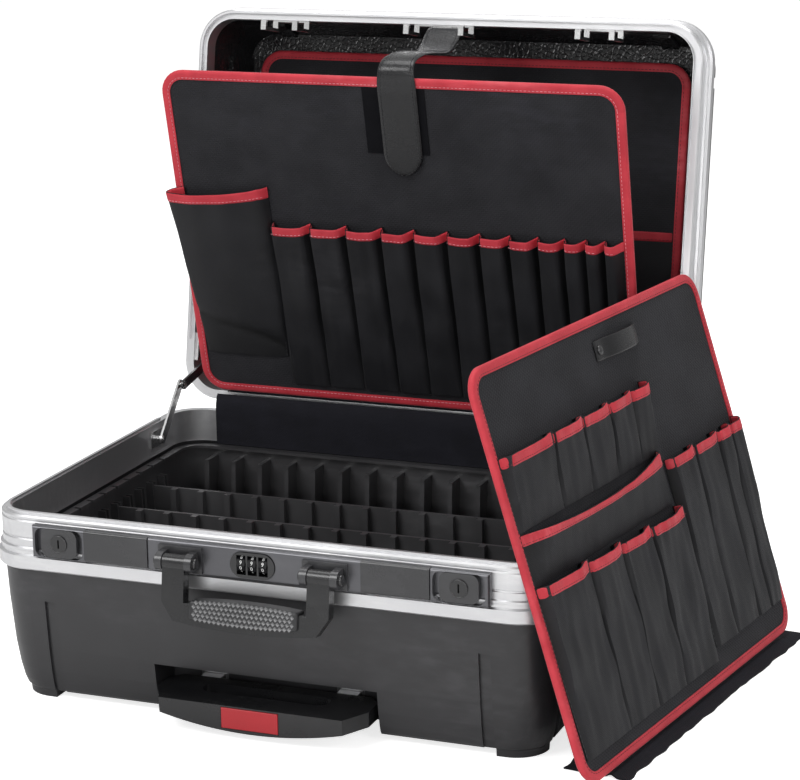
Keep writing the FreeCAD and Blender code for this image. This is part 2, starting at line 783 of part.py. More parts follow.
for cutter in (lever_pocket, key_pocket, lever_pin, key_slot):
    for piece in both_sides(cutter):
        lock_bar = lock_bar.cut(piece)
oval_radius = lock_oval_height / 2 - seat_gap
lock_bar = lock_bar.cut(plate_at(0, bar_middle - lock_oval_height / 2 - seat_gap,
                                 2 * (lock_oval_half_length + seat_gap), lock_oval_height + 2 * seat_gap,
                                 oval_radius + seat_gap, -case_depth, front_face))
bead_top = frame_bottom + frame_skirt_height + frame_groove_height + frame_bead_height
bar_rebate = block(-case_width, case_width, frame_bead_inset - half_depth - seat_gap, 0,
                   bar_bottom - cut_overrun, bead_top + seat_gap)
lock_bar = lock_bar.cut(bar_rebate)
save("lock_bar", lock_bar)
pins += both_sides(lever_pin)

# Latch levers, round at the foot where they turn on their pins
lever_front = lever_pin_y - lever_thickness / 2
lever = fused(block(lever_inner_end, lever_outer_end, lever_front, lever_front + lever_thickness,
                    lever_pin_z, bar_top),
              rod(lever_thickness / 2, V(lever_inner_end, lever_pin_y, lever_pin_z), X_AXIS,
                  lever_outer_end - lever_inner_end))
lever = lever.makeFillet(lever_thickness / 4, [edge for edge in lever.Edges
                                              if edge.CenterOfMass.z > bar_top - seat_gap
                                              and edge.CenterOfMass.y < lever_front + seat_gap])
lever = lever.cut(rod(lever_pin_radius + running_gap, V(0, lever_pin_y, lever_pin_z), X_AXIS, case_width))
save("latch_lever_right", lever)
save("latch_lever_left", mirrored_x(lever))

# Sliding key plates: stem through the frame, head behind it, and a turning cylinder in front
plate_back = pocket_floor - seat_gap
plate_front = plate_back - key_plate_thickness
plate_middle_x = key_plate_start + key_plate_length / 2
cylinder_back = plate_back - key_plate_backing
cylinder_front = plate_front - key_cylinder_stand_out
key_plate_height = key_pocket_height - 2 * slide_gap
key_plate = plate_at(plate_middle_x, bar_middle - key_plate_height / 2, key_plate_length, key_plate_height,
                     key_plate_corner - slide_gap, plate_front, plate_back)
hook_tip = -inner_half_depth + catch_tip_gap
hook_back = hook_tip + catch_hook_depth
stem_end = hook_back - catch_hook_web - slide_gap
stem = block(key_stem_x0, key_stem_x0 + key_stem_width, cylinder_back, stem_end,
             bar_middle - key_stem_height / 2, bar_middle + key_stem_height / 2)
stem_head = block(key_stem_x0, key_stem_x0 + key_stem_width, -inner_half_depth + seat_gap,
                  -inner_half_depth + seat_gap + bolt_head,
                  bar_middle, bar_middle + key_stem_height / 2 + bolt_head_rise)
key_cylinder = rod(key_cylinder_radius, V(plate_middle_x, cylinder_front, bar_middle), Y_AXIS,
                   cylinder_back - cylinder_front)
cylinder_hole = rod(key_cylinder_radius + running_gap, V(plate_middle_x, cylinder_front, bar_middle), Y_AXIS,
                    cylinder_back - cylinder_front)
key_slide = fused(key_plate, stem, stem_head).cut(cylinder_hole)
keyway = block(plate_middle_x - keyway_width / 2, plate_middle_x + keyway_width / 2, cylinder_front,
               cylinder_front + keyway_depth, bar_middle - keyway_length / 2, bar_middle + keyway_length / 2)
key_cylinder = key_cylinder.cut(keyway)
save("key_slide_right", key_slide)
save("key_slide_left", mirrored_x(key_slide))
save("key_cylinder_right", key_cylinder)
save("key_cylinder_left", mirrored_x(key_cylinder))

# Combination lock: oval front, box let into the frame, shaft and number wheels
lock_oval = plate_at(0, bar_middle - lock_oval_height / 2, 2 * lock_oval_half_length, lock_oval_height,
                     oval_radius, lock_front, front_face).cut(bar_rebate)
lock_box = block(-lock_box_half_length, lock_box_half_length, front_face, lock_box_back,
                 bar_middle - lock_box_half_height, bar_middle + lock_box_half_height)
combination_housing = fused(lock_oval, lock_box)
dial_middles = [(number - (dial_count - 1) / 2) * dial_pitch for number in range(dial_count)]
window_half_height = dial_radius + slide_gap
for x in dial_middles:
    window = block(x - dial_width / 2 - slide_gap, x + dial_width / 2 + slide_gap, -case_depth,
                   dial_y + dial_radius + dial_room, bar_middle - window_half_height,
                   bar_middle + window_half_height)
    combination_housing = combination_housing.cut(window)
dial_shaft = rod(dial_shaft_radius, V(-dial_row_half - slide_gap - lock_case_wall, dial_y, bar_middle), X_AXIS,
                 2 * (dial_row_half + slide_gap + lock_case_wall))
save("combination_housing", combination_housing.cut(dial_shaft))
pins.append(dial_shaft)
save("hinge_and_lock_pins", *pins)
flat_turn = radians(360 / dial_flat_count)
for number, x in enumerate(dial_middles):
    corners = [V(x - dial_width / 2, dial_y + dial_radius * cos(flat * flat_turn),
                 bar_middle + dial_radius * sin(flat * flat_turn)) for flat in range(dial_flat_count)]
    dial = polygon_bar(corners, V(dial_width, 0, 0))
    dial = dial.cut(rod(dial_shaft_radius + running_gap, V(x - dial_width, dial_y, bar_middle), X_AXIS,
                        2 * dial_width))
    save("dial_" + str(number + 1), dial)

# Carry handle, drawn upright below its eyes at the origin, then leaned and moved to the brackets
handle_y = front_face - handle_stand_off
eye_x = handle_eye_spacing / 2
arm_outer = eye_x + handle_arm_width / 2
arm_inner = eye_x - handle_arm_width / 2
bar_low = -handle_drop
bar_high = bar_low + handle_bar_height
half_arm = handle_arm_thickness / 2


def arch(half_x, end_z, middle_z, y):
    """An arc from right to left through its middle."""
    return Part.Arc(V(half_x, y, end_z), V(0, y, middle_z), V(-half_x, y, end_z)).toShape()


def hung(shape):
    leaned = shape.copy()
    leaned.rotate(V(0, 0, 0), X_AXIS, -handle_lean_degrees)
    leaned.translate(V(0, handle_y, handle_axis_height))
    return leaned


low_x = arm_outer - handle_corner_cut
outline = [arch(low_x, bar_low, bar_low - handle_bow, -half_arm)]
left_side = [V(-low_x, -half_arm, bar_low), V(-arm_outer, -half_arm, bar_high), V(-arm_outer, -half_arm, 0),
             V(-arm_inner, -half_arm, 0), V(-arm_inner, -half_arm, bar_high)]
right_side = [V(-point.x, point.y, point.z) for point in left_side[::-1]]
outline += Part.makePolygon(left_side).Edges
outline.append(arch(arm_inner, bar_high, bar_high + grip_rise, -half_arm))
outline += Part.makePolygon(right_side).Edges
handle_body = Part.Face(Part.Wire(Part.__sortEdges__(outline))).extrude(V(0, handle_arm_thickness, 0))
handle_eye = rod(handle_eye_radius, V(arm_inner, 0, 0), X_AXIS, handle_arm_width)
handle_body = fused(handle_body, *both_sides(handle_eye))
eye_bore = rod(handle_pin_radius + running_gap, V(arm_inner, 0, 0), X_AXIS, handle_arm_width)
for piece in both_sides(eye_bore):
    handle_body = handle_body.cut(piece)
save("carry_handle", hung(handle_body))

grip_half = arm_inner - grip_margin
grip_front = half_arm + grip_thickness
grip_outline = [arch(grip_half, bar_high + grip_thickness, bar_high + grip_rise + grip_thickness, -grip_front),
                arch(grip_half, bar_high + grip_thickness - grip_height,
                     bar_high + grip_thickness - grip_height - grip_rise, -grip_front)]
for side in (-1, 1):
    grip_outline.append(Part.LineSegment(V(side * grip_half, -grip_front, bar_high + grip_thickness),
                                         V(side * grip_half, -grip_front,
                                           bar_high + grip_thickness - grip_height)).toShape())
grip = Part.Face(Part.Wire(Part.__sortEdges__(grip_outline))).extrude(V(0, 2 * grip_front, 0))
grip = grip.makeFillet(grip_edge_round, grip.Edges)
save("carry_handle_grip", hung(grip.cut(handle_body)))

# Handle brackets: ears with a plate on the lock bar, and pins with heads
ear_inner = handle_arm_width / 2 + handle_ear_gap
ear_outer = ear_inner + handle_ear_thickness
bracket = []
for side in (-1, 1):
    x0, x1 = sorted((eye_x + side * ear_inner, eye_x + side * ear_outer))
    bracket.append(rod(handle_ear_radius, V(x0, handle_y, handle_axis_height), X_AXIS, x1 - x0))
    bracket.append(block(x0, x1, handle_y, bar_front, handle_axis_height - handle_ear_radius,
                         handle_axis_height + handle_ear_radius))
bracket.append(block(eye_x - ear_outer - handle_plate_margin, eye_x + ear_outer + handle_plate_margin,
                     bar_front - handle_plate_thickness, bar_front,
                     handle_axis_height - handle_ear_radius - handle_plate_margin,
                     handle_axis_height + handle_ear_radius + handle_plate_margin))
handle_pin = rod(handle_pin_radius, V(eye_x - ear_outer, handle_y, handle_axis_height), X_AXIS, 2 * ear_outer)
handle_bracket = fused(*bracket).cut(handle_pin)
save("handle_brackets", *both_sides(handle_bracket))
pin_head = rod(handle_pin_head_radius, V(eye_x + ear_outer, handle_y, handle_axis_height), X_AXIS,
               handle_pin_head_length)
pin_head = pin_head.makeFillet(handle_pin_head_length / 2, [edge for edge in pin_head.Edges
                                                           if edge.CenterOfMass.x > eye_x + ear_outer + seat_gap
                                                           and edge.Closed])
other_head = pin_head.mirror(V(eye_x, 0, 0), X_AXIS)
save("handle_pins", *both_sides(fused(handle_pin, pin_head, other_head)))

# Pull-out trolley handle: front bar, finger slot and cross member in one piece, with a push button
pull_y0 = -pull_front
pull_y1 = pull_y0 + pull_bar_depth
pull_y2 = pull_y1 + pull_finger_gap
pull_y3 = pull_y2 + pull_cross_depth
pull_low = pull_top - pull_height
plan = [V(pull_half_width_front, pull_y0, 0), V(pull_half_width_back, pull_y1, 0),
        V(pull_half_width_back, pull_y3 - pull_corner_cut, 0),
        V(pull_half_width_back - pull_corner_cut, pull_y3, 0)]
plan += [V(-point.x, point.y, 0) for point in plan[::-1]]
pull_plan = polygon_bar(plan, V(0, 0, pull_top))
bow_front = [arch(pull_half_width_front, pull_low, pull_low - pull_bow, pull_y0)]
bow_front += Part.makePolygon([V(-pull_half_width_front, pull_y0, pull_low),
                               V(-pull_half_width_back, pull_y0, pull_low),
                               V(-pull_half_width_back, pull_y0, pull_top),
                               V(pull_half_width_back, pull_y0, pull_top),
                               V(pull_half_width_back, pull_y0, pull_low),
                               V(pull_half_width_front, pull_y0, pull_low)]).Edges
bowed_bar = Part.Face(Part.Wire(Part.__sortEdges__(bow_front))).extrude(V(0, pull_bar_depth, 0))
flat_part = block(-case_width, case_width, pull_y1, pull_y3, pull_low, pull_top)
pull = bowed_bar.fuse(flat_part).common(pull_plan)
finger_slot = Part.Face(rounded_outline(pull_finger_half_width, pull_finger_gap / 2,
                                        pull_finger_gap / 2 - seat_gap, pull_low - cut_overrun,
                                        (pull_y1 + pull_y2) / 2))
pull = pull.cut(finger_slot.extrude(V(0, 0, pull_height + 2 * cut_overrun)))
button_top = pull_top - button_inset
button_low = pull_low - pull_bow + 2 * button_inset
button_pocket_back = pull_y0 + button_depth + button_travel
pull = pull.cut(block(-button_width / 2 - button_gap, button_width / 2 + button_gap, -case_depth,
                      button_pocket_back, button_low - button_gap, button_top + button_gap))
inner_width = tube_outer_width - 4 * (tube_wall + tube_step_gap)
inner_height = tube_outer_height - 4 * (tube_wall + tube_step_gap)


def square_tube(width, height, y0, length, wall):
    """The right-hand tube of one stage."""
    x = tube_spacing / 2
    z = tube_height_above_floor
    solid = block(x - width / 2, x + width / 2, y0, y0 + length, z - height / 2, z + height / 2)
    return solid.cut(block(x - width / 2 + wall, x + width / 2 - wall, y0 - cut_overrun,
                           y0 + length + cut_overrun, z - height / 2 + wall, z + height / 2 - wall))


inner_tube = square_tube(inner_width, inner_height, pull_y3 - tube_socket_depth, tube_inner_length, tube_wall)
socket = block(tube_spacing / 2 - inner_width / 2, tube_spacing / 2 + inner_width / 2,
               pull_y3 - tube_socket_depth, pull_y3, tube_height_above_floor - inner_height / 2,
               tube_height_above_floor + inner_height / 2)
for piece in both_sides(socket):
    pull = pull.cut(piece)
save("trolley_handle", pull.removeSplitter())
button = block(-button_width / 2, button_width / 2, pull_y0 - button_stand_out, pull_y0 + button_depth,
               button_low, button_top)
button = button.makeFillet(button_stand_out, [edge for edge in button.Edges
                                              if edge.CenterOfMass.y < pull_y0])
save("trolley_button", button)
spring_seat = button_pocket_back - spring_plate_thickness / 2
spring_lift = button_travel - spring_plate_thickness
spring_path = [(share * spring_half_length, spring_seat - rise * spring_lift)
               for share, rise in spring_path_shares]
button_middle = (button_top + button_low) / 2
spring_plate = ribbon(spring_path, spring_plate_thickness, button_middle - spring_plate_height / 2,
                      button_middle + spring_plate_height / 2)
spring_plate.rotate(V(0, 0, 0), V(1, 1, 1), -120)
save("button_spring", spring_plate)
save("inner_tubes", *both_sides(inner_tube))

outer_start = recess_y1 + seat_gap
save("middle_tubes", *both_sides(square_tube(tube_outer_width - 2 * (tube_wall + tube_step_gap),
                                             tube_outer_height - 2 * (tube_wall + tube_step_gap),
                                             outer_start, tube_middle_length, tube_wall)))
save("outer_tubes", *both_sides(square_tube(tube_outer_width, tube_outer_height, outer_start, tube_outer_length,
                                            tube_wall)))
mounts = []
mount_top = tube_height_above_floor + tube_outer_height / 2 + mount_margin
mount_half = tube_outer_width / 2 + mount_margin
tube_body = block(tube_spacing / 2 - tube_outer_width / 2, tube_spacing / 2 + tube_outer_width / 2, outer_start,
                  outer_start + tube_outer_length, tube_height_above_floor - tube_outer_height / 2,
                  tube_height_above_floor + tube_outer_height / 2)
for y0 in (recess_y1 + shell_wall, outer_start + tube_outer_length - mount_length - mount_margin):
    mount = block(tube_spacing / 2 - mount_half, tube_spacing / 2 + mount_half, y0, y0 + mount_length,
                  shell_bottom + shell_wall, mount_top)
    mounts += both_sides(mount.cut(tube_body))
save("trolley_mounts", *mounts)

# Lid stays: with the hinge line they make a parallelogram, so both links turn as the lid does
stay_base = (stay_base_y, stay_base_z)
stay_knee = (stay_knee_y, stay_knee_z)
stay_lid = (stay_knee_y + hinge_y - stay_base_y, stay_knee_z + hinge_z - stay_base_z)
lower_x1 = inner_half_width - stay_from_frame
lower_x0 = lower_x1 - stay_link_thickness
upper_x1 = lower_x0 - stay_side_gap
upper_x0 = upper_x1 - stay_link_thickness
rivet_reach = upper_x0 - stay_rivet_end
stay_lower = bar_between(stay_base, stay_knee, stay_link_width, lower_x0, lower_x1)
stay_lower = stay_lower.cut(rod(stay_rivet_radius + running_gap, V(lower_x0, *stay_base), X_AXIS,
                                stay_link_thickness))
knee_rivet = rod(stay_rivet_radius, V(rivet_reach, *stay_knee), X_AXIS, lower_x0 - rivet_reach)
stay_lower = fused(stay_lower, knee_rivet)
stay_upper = bar_between(stay_knee, stay_lid, stay_link_width, upper_x0, upper_x1)
stay_upper = stay_upper.cut(rod(stay_rivet_radius + stay_knee_gap, V(upper_x0, *stay_knee), X_AXIS,
                                stay_link_thickness))
stay_upper = stay_upper.cut(rod(stay_rivet_radius + running_gap, V(upper_x0, *stay_lid), X_AXIS,
                                stay_link_thickness))
save("stay_lower_right", stay_lower)
save("stay_lower_left", mirrored_x(stay_lower))
save("stay_upper_right", stay_upper)
save("stay_upper_left", mirrored_x(stay_upper))
bracket_x0 = inner_half_width - stay_bracket_thickness
base_bracket = fused(block(bracket_x0, inner_half_width, stay_base_y - stay_bracket_length / 2,
                           stay_base_y + stay_bracket_length / 2, stay_base_z - stay_bracket_width / 2,
                           stay_base_z + stay_bracket_width / 2),
                     rod(stay_rivet_radius, V(lower_x0 - stay_rivet_end, *stay_base), X_AXIS,
                         inner_half_width - lower_x0 + stay_rivet_end))
save("stay_base_brackets", *both_sides(base_bracket))
turn = radians(90 + lid_lean_degrees)
from_hinge_y = stay_lid[0] - hinge_y
from_hinge_z = stay_lid[1] - hinge_z
shut_y = hinge_y + from_hinge_y * cos(turn) - from_hinge_z * sin(turn)
shut_z = hinge_z + from_hinge_y * sin(turn) + from_hinge_z * cos(turn)
bracket_y1 = half_depth - corner_radius
lid_bracket = fused(block(bracket_x0, inner_half_width, bracket_y1 - stay_bracket_length, bracket_y1,
                          shut_z - stay_bracket_length, shut_z + stay_bracket_width / 2),
                    rod(stay_rivet_radius, V(rivet_reach, shut_y, shut_z), X_AXIS,
                        inner_half_width - rivet_reach))
save("stay_lid_brackets", *[opened(piece) for piece in both_sides(lid_bracket)])

# Moulded tray in the base, with slots for the dividers and a rack of fins along its rear wall
tray_inset = frame_inner_inset - frame_skirt_thickness - seat_gap + tray_side_gap
tray_floor_bottom = housing_top + shell_wall + seat_gap
tray_floor_top = tray_floor_bottom + tray_wall
tray_outer = rounded_stack(wall_sections(shell_bottom, tray_top, frame_bottom, tray_inset, tray_floor_bottom,
                                         tray_edge_round))
tray_cavity = rounded_stack(wall_sections(shell_bottom, tray_top + cut_overrun, frame_bottom,
                                          tray_inset + tray_wall, tray_floor_top, tray_edge_round))
lip_half_x = shell_half_width - tray_inset - tray_lip_width
lip_half_y = shell_half_depth - tray_inset - tray_lip_width
lip_radius = corner_radius - frame_inner_inset - tray_lip_width
lip_window = rounded_stack([(tray_floor_top, lip_half_x, lip_half_y, lip_radius),
                            (tray_top + cut_overrun, lip_half_x, lip_half_y, lip_radius)])
lip = tray_outer.common(block(-case_width, case_width, -case_depth, case_depth,
                              tray_top - tray_lip_thickness, tray_top))
lip = lip.cut(lip_window)
slot_top = rim_height - slot_rib_drop
fin_top = tray_top - rack_top_drop
inside_slots = rounded_stack(wall_sections(shell_bottom, tray_top + cut_overrun, frame_bottom,
                                           tray_inset + tray_wall + slot_rib_depth, tray_floor_top - cut_overrun,
                                           tray_edge_round))
inside_rack = rounded_stack(wall_sections(shell_bottom, tray_top + cut_overrun, frame_bottom,
                                          tray_inset + tray_wall + rack_fin_depth, tray_floor_top - cut_overrun,
                                          tray_edge_round))
slot_half = divider_thickness / 2 + slide_gap
slot_slabs = []
slot_ways = []
for number in range(-slot_count_front, slot_count_rear + 1):
    y = divider_rear_y + number * slot_pitch
    slot_slabs.append(block(-case_width, case_width, y - slot_half - slot_wall, y + slot_half + slot_wall,
                            tray_floor_top - cut_overrun, slot_top))
    slot_ways.append(block(-case_width, case_width, y - slot_half, y + slot_half, tray_floor_top,
                           tray_top + cut_overrun).common(tray_cavity))
fin_slabs = []
for number in range(rack_fin_count):
    x = (number - (rack_fin_count - 1) / 2) * rack_pitch
    fin = block(x - rack_fin_thickness / 2, x + rack_fin_thickness / 2, 0, case_depth,
                tray_floor_top - cut_overrun, fin_top)
    fin_slabs.append(fin)
ribs = wall_band(tray_cavity, inside_slots, slot_slabs)
fins = wall_band(tray_cavity, inside_rack, fin_slabs)
base_tray = tray_outer.cut(tray_cavity).multiFuse([lip] + ribs + fins)
for way in slot_ways:
    base_tray = base_tray.cut(way)
save("base_tray", base_tray.removeSplitter())


def tray_half_width(z):
    """Half the inside width of the tray at height z."""
    return shell_half_width - wall_pull(shell_bottom, frame_bottom, z)[0] - tray_inset - tray_wall


def divider(y):
    low = tray_floor_top + seat_gap
    top = rim_height - divider_top_drop
    shoulder = tray_floor_top + tray_edge_round
    half = [(tray_half_width(low) - tray_edge_round - tray_side_gap, low),
            (tray_half_width(shoulder) - tray_side_gap, shoulder), (tray_half_width(top) - tray_side_gap, top)]
    y0 = y - divider_thickness / 2
    points = [V(x, y0, z) for x, z in half] + [V(-x, y0, z) for x, z in half[::-1]]
    pieces = [polygon_bar(points, V(0, divider_thickness, 0))]
    for number in range(divider_rib_count):
        x = (number - (divider_rib_count - 1) / 2) * divider_rib_pitch
        pieces.append(block(x - divider_rib_width / 2, x + divider_rib_width / 2, y0 - divider_rib_depth, y0,
                            low, top))
    return fused(*pieces)


save("divider_rear", divider(divider_rear_y))
save("divider_front", divider(divider_front_y))

# Catches inside the front of the lid frame: a plate with a hook at each end, drawn as shut
hook_foot_top = bar_middle - key_stem_height / 2 - 2 * slide_gap
hook_foot_low = hook_foot_top - catch_foot_height
catch_low = hinge_z + catch_foot_height / 2


def catch(x_middle, width):
    pieces = [block(x_middle - width / 2, x_middle + width / 2, -inner_half_depth,
                    -inner_half_depth + catch_plate_thickness, catch_low, catch_low + catch_plate_height)]
    for side in (-1, 1):
        end = x_middle + side * width / 2
        x0, x1 = sorted((end, end - side * catch_hook_width))
        pieces.append(block(x0, x1, -inner_half_depth, hook_back, catch_low, catch_low + catch_foot_height))
        pieces.append(block(x0, x1, hook_back - catch_hook_web, hook_back, hook_foot_low,
                            catch_low + catch_foot_height))
        pieces.append(block(x0, x1, hook_tip, hook_back, hook_foot_low, hook_foot_top))
    return opened(fused(*pieces))


save("lid_catches", catch(-catch_spacing, catch_plate_width), catch(0, catch_middle_width),
     catch(catch_spacing, catch_plate_width))

# Stand feet on the lid's hinge side, level with the wheels when the case stands on end
stand_face = -(wheel_y + wheel_radius)
foot_z0 = -lid_depth + stand_foot_rise
stand_foot = block(catch_spacing - stand_foot_width / 2, catch_spacing + stand_foot_width / 2, stand_face,
                   -shell_half_depth + shell_end_taper + shell_bow, foot_z0, foot_z0 + stand_foot_length)
stand_foot = stand_foot.makeFillet(stand_foot_round, [edge for edge in stand_foot.Edges
                                                      if edge.CenterOfMass.y < stand_face + seat_gap])
save("lid_stand_feet", *[on_lid(as_lid(piece.cut(lid_outer_flat))) for piece in both_sides(stand_foot)])

# Pocket boards, drawn upright: middle on x = 0, lower edge on z = 0, pockets towards -y
half_board = board_thickness / 2
bound_half = half_board + binding_thickness


def bound_board(width, height):
    """A stiff panel and the cloth binding round its edge."""
    panel = rounded_plate(width - 2 * binding_thickness, height - 2 * binding_thickness,
                          board_corner - binding_thickness, -half_board, half_board)
    panel.translate(V(0, 0, binding_thickness))
    window = rounded_plate(width - 2 * binding_width, height - 2 * binding_width, board_corner - binding_width,
                           -bound_half, bound_half)
    window.translate(V(0, 0, binding_width))
    binding = rounded_plate(width, height, board_corner, -bound_half, bound_half).cut(window).cut(panel)
    return panel, binding


def pocket_group(seams, bottom, top, stand_out):
    """Pockets side by side: one front sheet, a seam at each side of every pocket, and a bound mouth."""
    face = -half_board
    foot = face - 2 * cloth
    mouth = face - stand_out
    body = polygon_bar([V(seams[0], face, bottom), V(seams[0], foot, bottom), V(seams[0], mouth, top),
                        V(seams[0], face, top)], V(seams[-1] - seams[0], 0, 0))
    for number, (x0, x1) in enumerate(zip(seams, seams[1:])):
        start = x0 + (cloth if number == 0 else cloth / 2)
        end = x1 - (cloth if number == len(seams) - 2 else cloth / 2)
        cell = [V(start, face, bottom + cloth), V(start, foot + cloth, bottom + cloth),
                V(start, mouth + cloth, top), V(start, face, top)]
        body = body.cut(polygon_bar(cell, V(end - start, 0, 0)))
    share = (top - bottom - pocket_band) / (top - bottom)
    low_edge = foot + (mouth - foot) * share
    band = polygon_bar([V(seams[0], low_edge, top - pocket_band), V(seams[0], mouth, top),
                        V(seams[0], mouth - mouth_band_thickness, top),
                        V(seams[0], low_edge - mouth_band_thickness, top - pocket_band)],
                       V(seams[-1] - seams[0], 0, 0))
    return body, band


def between(start, end, shares):
    return [start + (end - start) * share for share in shares]


# Front board, leaning out of the lid over its cloth hinge
front_up = V(0, -sin(radians(front_board_lean_degrees)), cos(radians(front_board_lean_degrees)))
front_out = V(0, -front_up.z, front_up.y)
front_foot = V(0, front_board_y, front_board_z)
board_edge = board_width / 2 - binding_width


def on_front_board(shape):
    placed = shape.copy()
    placed.rotate(V(0, 0, 0), X_AXIS, front_board_lean_degrees)
    placed.translate(front_foot)
    return placed


panel, binding = bound_board(board_width, board_height)
large_pocket, large_band = pocket_group([-board_edge, large_pocket_right], large_pocket_bottom,
                                        large_pocket_top, large_pocket_stand_out)
row_seams = between(row_left, board_edge, row_seam_shares)
row_half = len(row_seams) // 2
row_first, row_first_band = pocket_group(row_seams[:row_half + 1], row_bottom, row_top, row_stand_out)
row_second, row_second_band = pocket_group(row_seams[row_half:], row_bottom, row_top, row_stand_out)
save("front_board", on_front_board(panel))
row_band = row_first_band.fuse(row_second_band).removeSplitter()
save("front_board_binding", *[on_front_board(piece) for piece in (binding, large_band, row_band)])
save("front_pockets_left", on_front_board(large_pocket), on_front_board(row_first))
save("front_pockets_right", on_front_board(row_second.cut(binding)))

# Back board, standing on the channel ribs inside the lid's hinge side, with one flat closed pocket
back_middle = back_board_depth + bound_half
back_face = back_middle + bound_half
back_rib_line = (shell_half_depth - wall_pull(-lid_depth, -lid_frame_height, -back_face)[1] - shell_wall
                 - channel_depth)
back_rise = hinge_y - back_rib_line + seat_gap


def on_back_board(shape):
    placed = shape.copy()
    placed.translate(V(0, back_middle, back_rise))
    return on_lid(placed)


panel, binding = bound_board(back_board_width, back_board_height)
back_edge = back_board_width / 2 - binding_width
back_sheet_face = -(half_board + 2 * cloth)
back_pocket = block(-back_edge, back_edge, back_sheet_face, -half_board, back_pocket_bottom, back_pocket_top)
back_band = block(-back_edge, back_edge, back_sheet_face - mouth_band_thickness, back_sheet_face,
                  back_pocket_top - pocket_band, back_pocket_top)
save("back_board", on_back_board(panel), on_back_board(binding))
save("back_board_pocket", on_back_board(back_pocket), on_back_board(back_band))

# Cloth hinge strip from the lid frame's inside to the bead under the front board
lean = radians(lid_lean_degrees)
bead = front_foot - front_up * board_hinge_drop
bead_depth = (bead.y - hinge_y) * cos(lean) - (bead.z - hinge_z) * sin(lean)
bead_rise = (bead.y - hinge_y) * sin(lean) + (bead.z - hinge_z) * cos(lean)
strip_half = board_width / 2 - board_corner
strip_seat = hinge_y - inner_half_depth + seat_gap + flap_thickness / 2
hinge_strip = ribbon([(bead_depth, bead_rise), (bead_depth / 2, strip_seat),
                      (lid_frame_skirt_height * 2, strip_seat)], flap_thickness, -strip_half, strip_half)
hinge_bead = rod(hinge_bead_radius, V(-strip_half, bead_depth, bead_rise), X_AXIS, 2 * strip_half)
save("board_hinge_strip", on_lid(fused(hinge_strip, hinge_bead)))

# Strap from the lid frame over the front board's top edge and down its face
strap_x0 = strap_x - strap_width / 2
strap_x1 = strap_x + strap_width / 2
seat_rise = hinge_y + inner_half_depth - catch_plate_thickness - seat_gap - strap_thickness / 2


def lid_point(depth, rise):
    return (hinge_y + rise * sin(lean) + depth * cos(lean), hinge_z + rise * cos(lean) - depth * sin(lean))


board_top = front_foot + front_up * board_height
strap_off = bound_half + 2 * seat_gap + strap_thickness / 2
rim_point = lid_point(seat_gap, seat_rise)
strap_points = [lid_point(strap_seat, seat_rise), rim_point]
for along, rise in strap_path_shares:
    strap_points.append((board_top.y + (rim_point[0] - board_top.y) * along,
                         board_top.z + (rim_point[1] - board_top.z) * along + strap_rise * rise))
for down in (0, strap_tail):
    place = board_top + front_out * strap_off - front_up * down
    strap_points.append((place.y, place.z))
save("lid_strap", ribbon(strap_points, strap_thickness, strap_x0, strap_x1))

# Cloth flap from behind the tray's lip up to the foot of the front board
flap_y = inner_half_depth - seat_gap / 3 - flap_thickness / 2
rear_flap = ribbon([(flap_y, tray_top + seat_gap), (flap_y, rim_height),
                    (bead.y - hinge_bead_radius, bead.z - hinge_bead_radius - flap_thickness)],
                   flap_thickness, -rear_flap_width / 2, rear_flap_width / 2)
save("rear_flap", rear_flap)

# Loose board, leaning on the right side of the case, and the cloth flap under it on the floor
loose_edge = loose_board_width / 2 - binding_width
loose_left = -loose_board_width / 2


def on_loose_floor(shape):
    """Turns a shape about the board's left lower corner and sets it down there, on the floor."""
    placed = shape.copy()
    placed.rotate(V(0, 0, 0), Z_AXIS, loose_board_turn_degrees)
    placed.translate(V(half_width + loose_board_out, -(half_depth + loose_board_forward), 0))
    return placed


def on_loose_board(shape):
    placed = shape.copy()
    placed.translate(V(-loose_left, 0, 0))
    placed.rotate(V(0, 0, 0), X_AXIS, -loose_board_lean_degrees)
    placed.translate(V(0, 0, loose_board_z))
    return on_loose_floor(placed)


panel, binding = bound_board(loose_board_width, loose_board_height)
split = loose_left + tier_split
half_split = slide_gap + cloth
upper_seams = between(-loose_edge, split - half_split, upper_tier_seam_shares)
lower_seams = between(-loose_edge, split - half_split, lower_tier_seam_shares)
side_seams = between(split + half_split, loose_edge, side_tier_seam_shares)
upper, upper_band = pocket_group(upper_seams, upper_tier_bottom, upper_tier_top, tier_stand_out)
middle, middle_band = pocket_group([-loose_edge, split - half_split], middle_tier_bottom, middle_tier_top,
                                   tier_stand_out)
lower, lower_band = pocket_group(lower_seams, lower_tier_bottom, lower_tier_top, tier_stand_out)
side, side_band = pocket_group(side_seams, side_tier_bottom, side_tier_top, tier_stand_out)
loop_x0 = loose_left + (loose_board_width - loop_length) / 2 + loop_height * 2
loop_z = loose_board_height - loop_from_top - loop_height / 2
loop_path = [(loop_x0 + share * loop_length, -half_board - loop_thickness / 2 - rise * loop_stand_off)
             for share, rise in loop_path_shares]
loop = ribbon(loop_path, loop_thickness, loop_z - loop_height / 2, loop_z + loop_height / 2)
loop.rotate(V(0, 0, 0), V(1, 1, 1), -120)
rivet = rod(loop_rivet_radius, V(loop_x0 + loop_rivet_radius * 2, -half_board - loop_thickness, loop_z),
            V(0, -1, 0), loop_thickness)
save("loose_board", *[on_loose_board(piece) for piece in (panel, loop, rivet)])
save("loose_board_binding", *[on_loose_board(piece) for piece in (binding, upper_band, middle_band, lower_band,
                                                                  side_band)])
save("loose_pockets_upper", on_loose_board(upper), on_loose_board(middle))
save("loose_pockets_lower", on_loose_board(lower.cut(binding)), on_loose_board(side.cut(binding)))

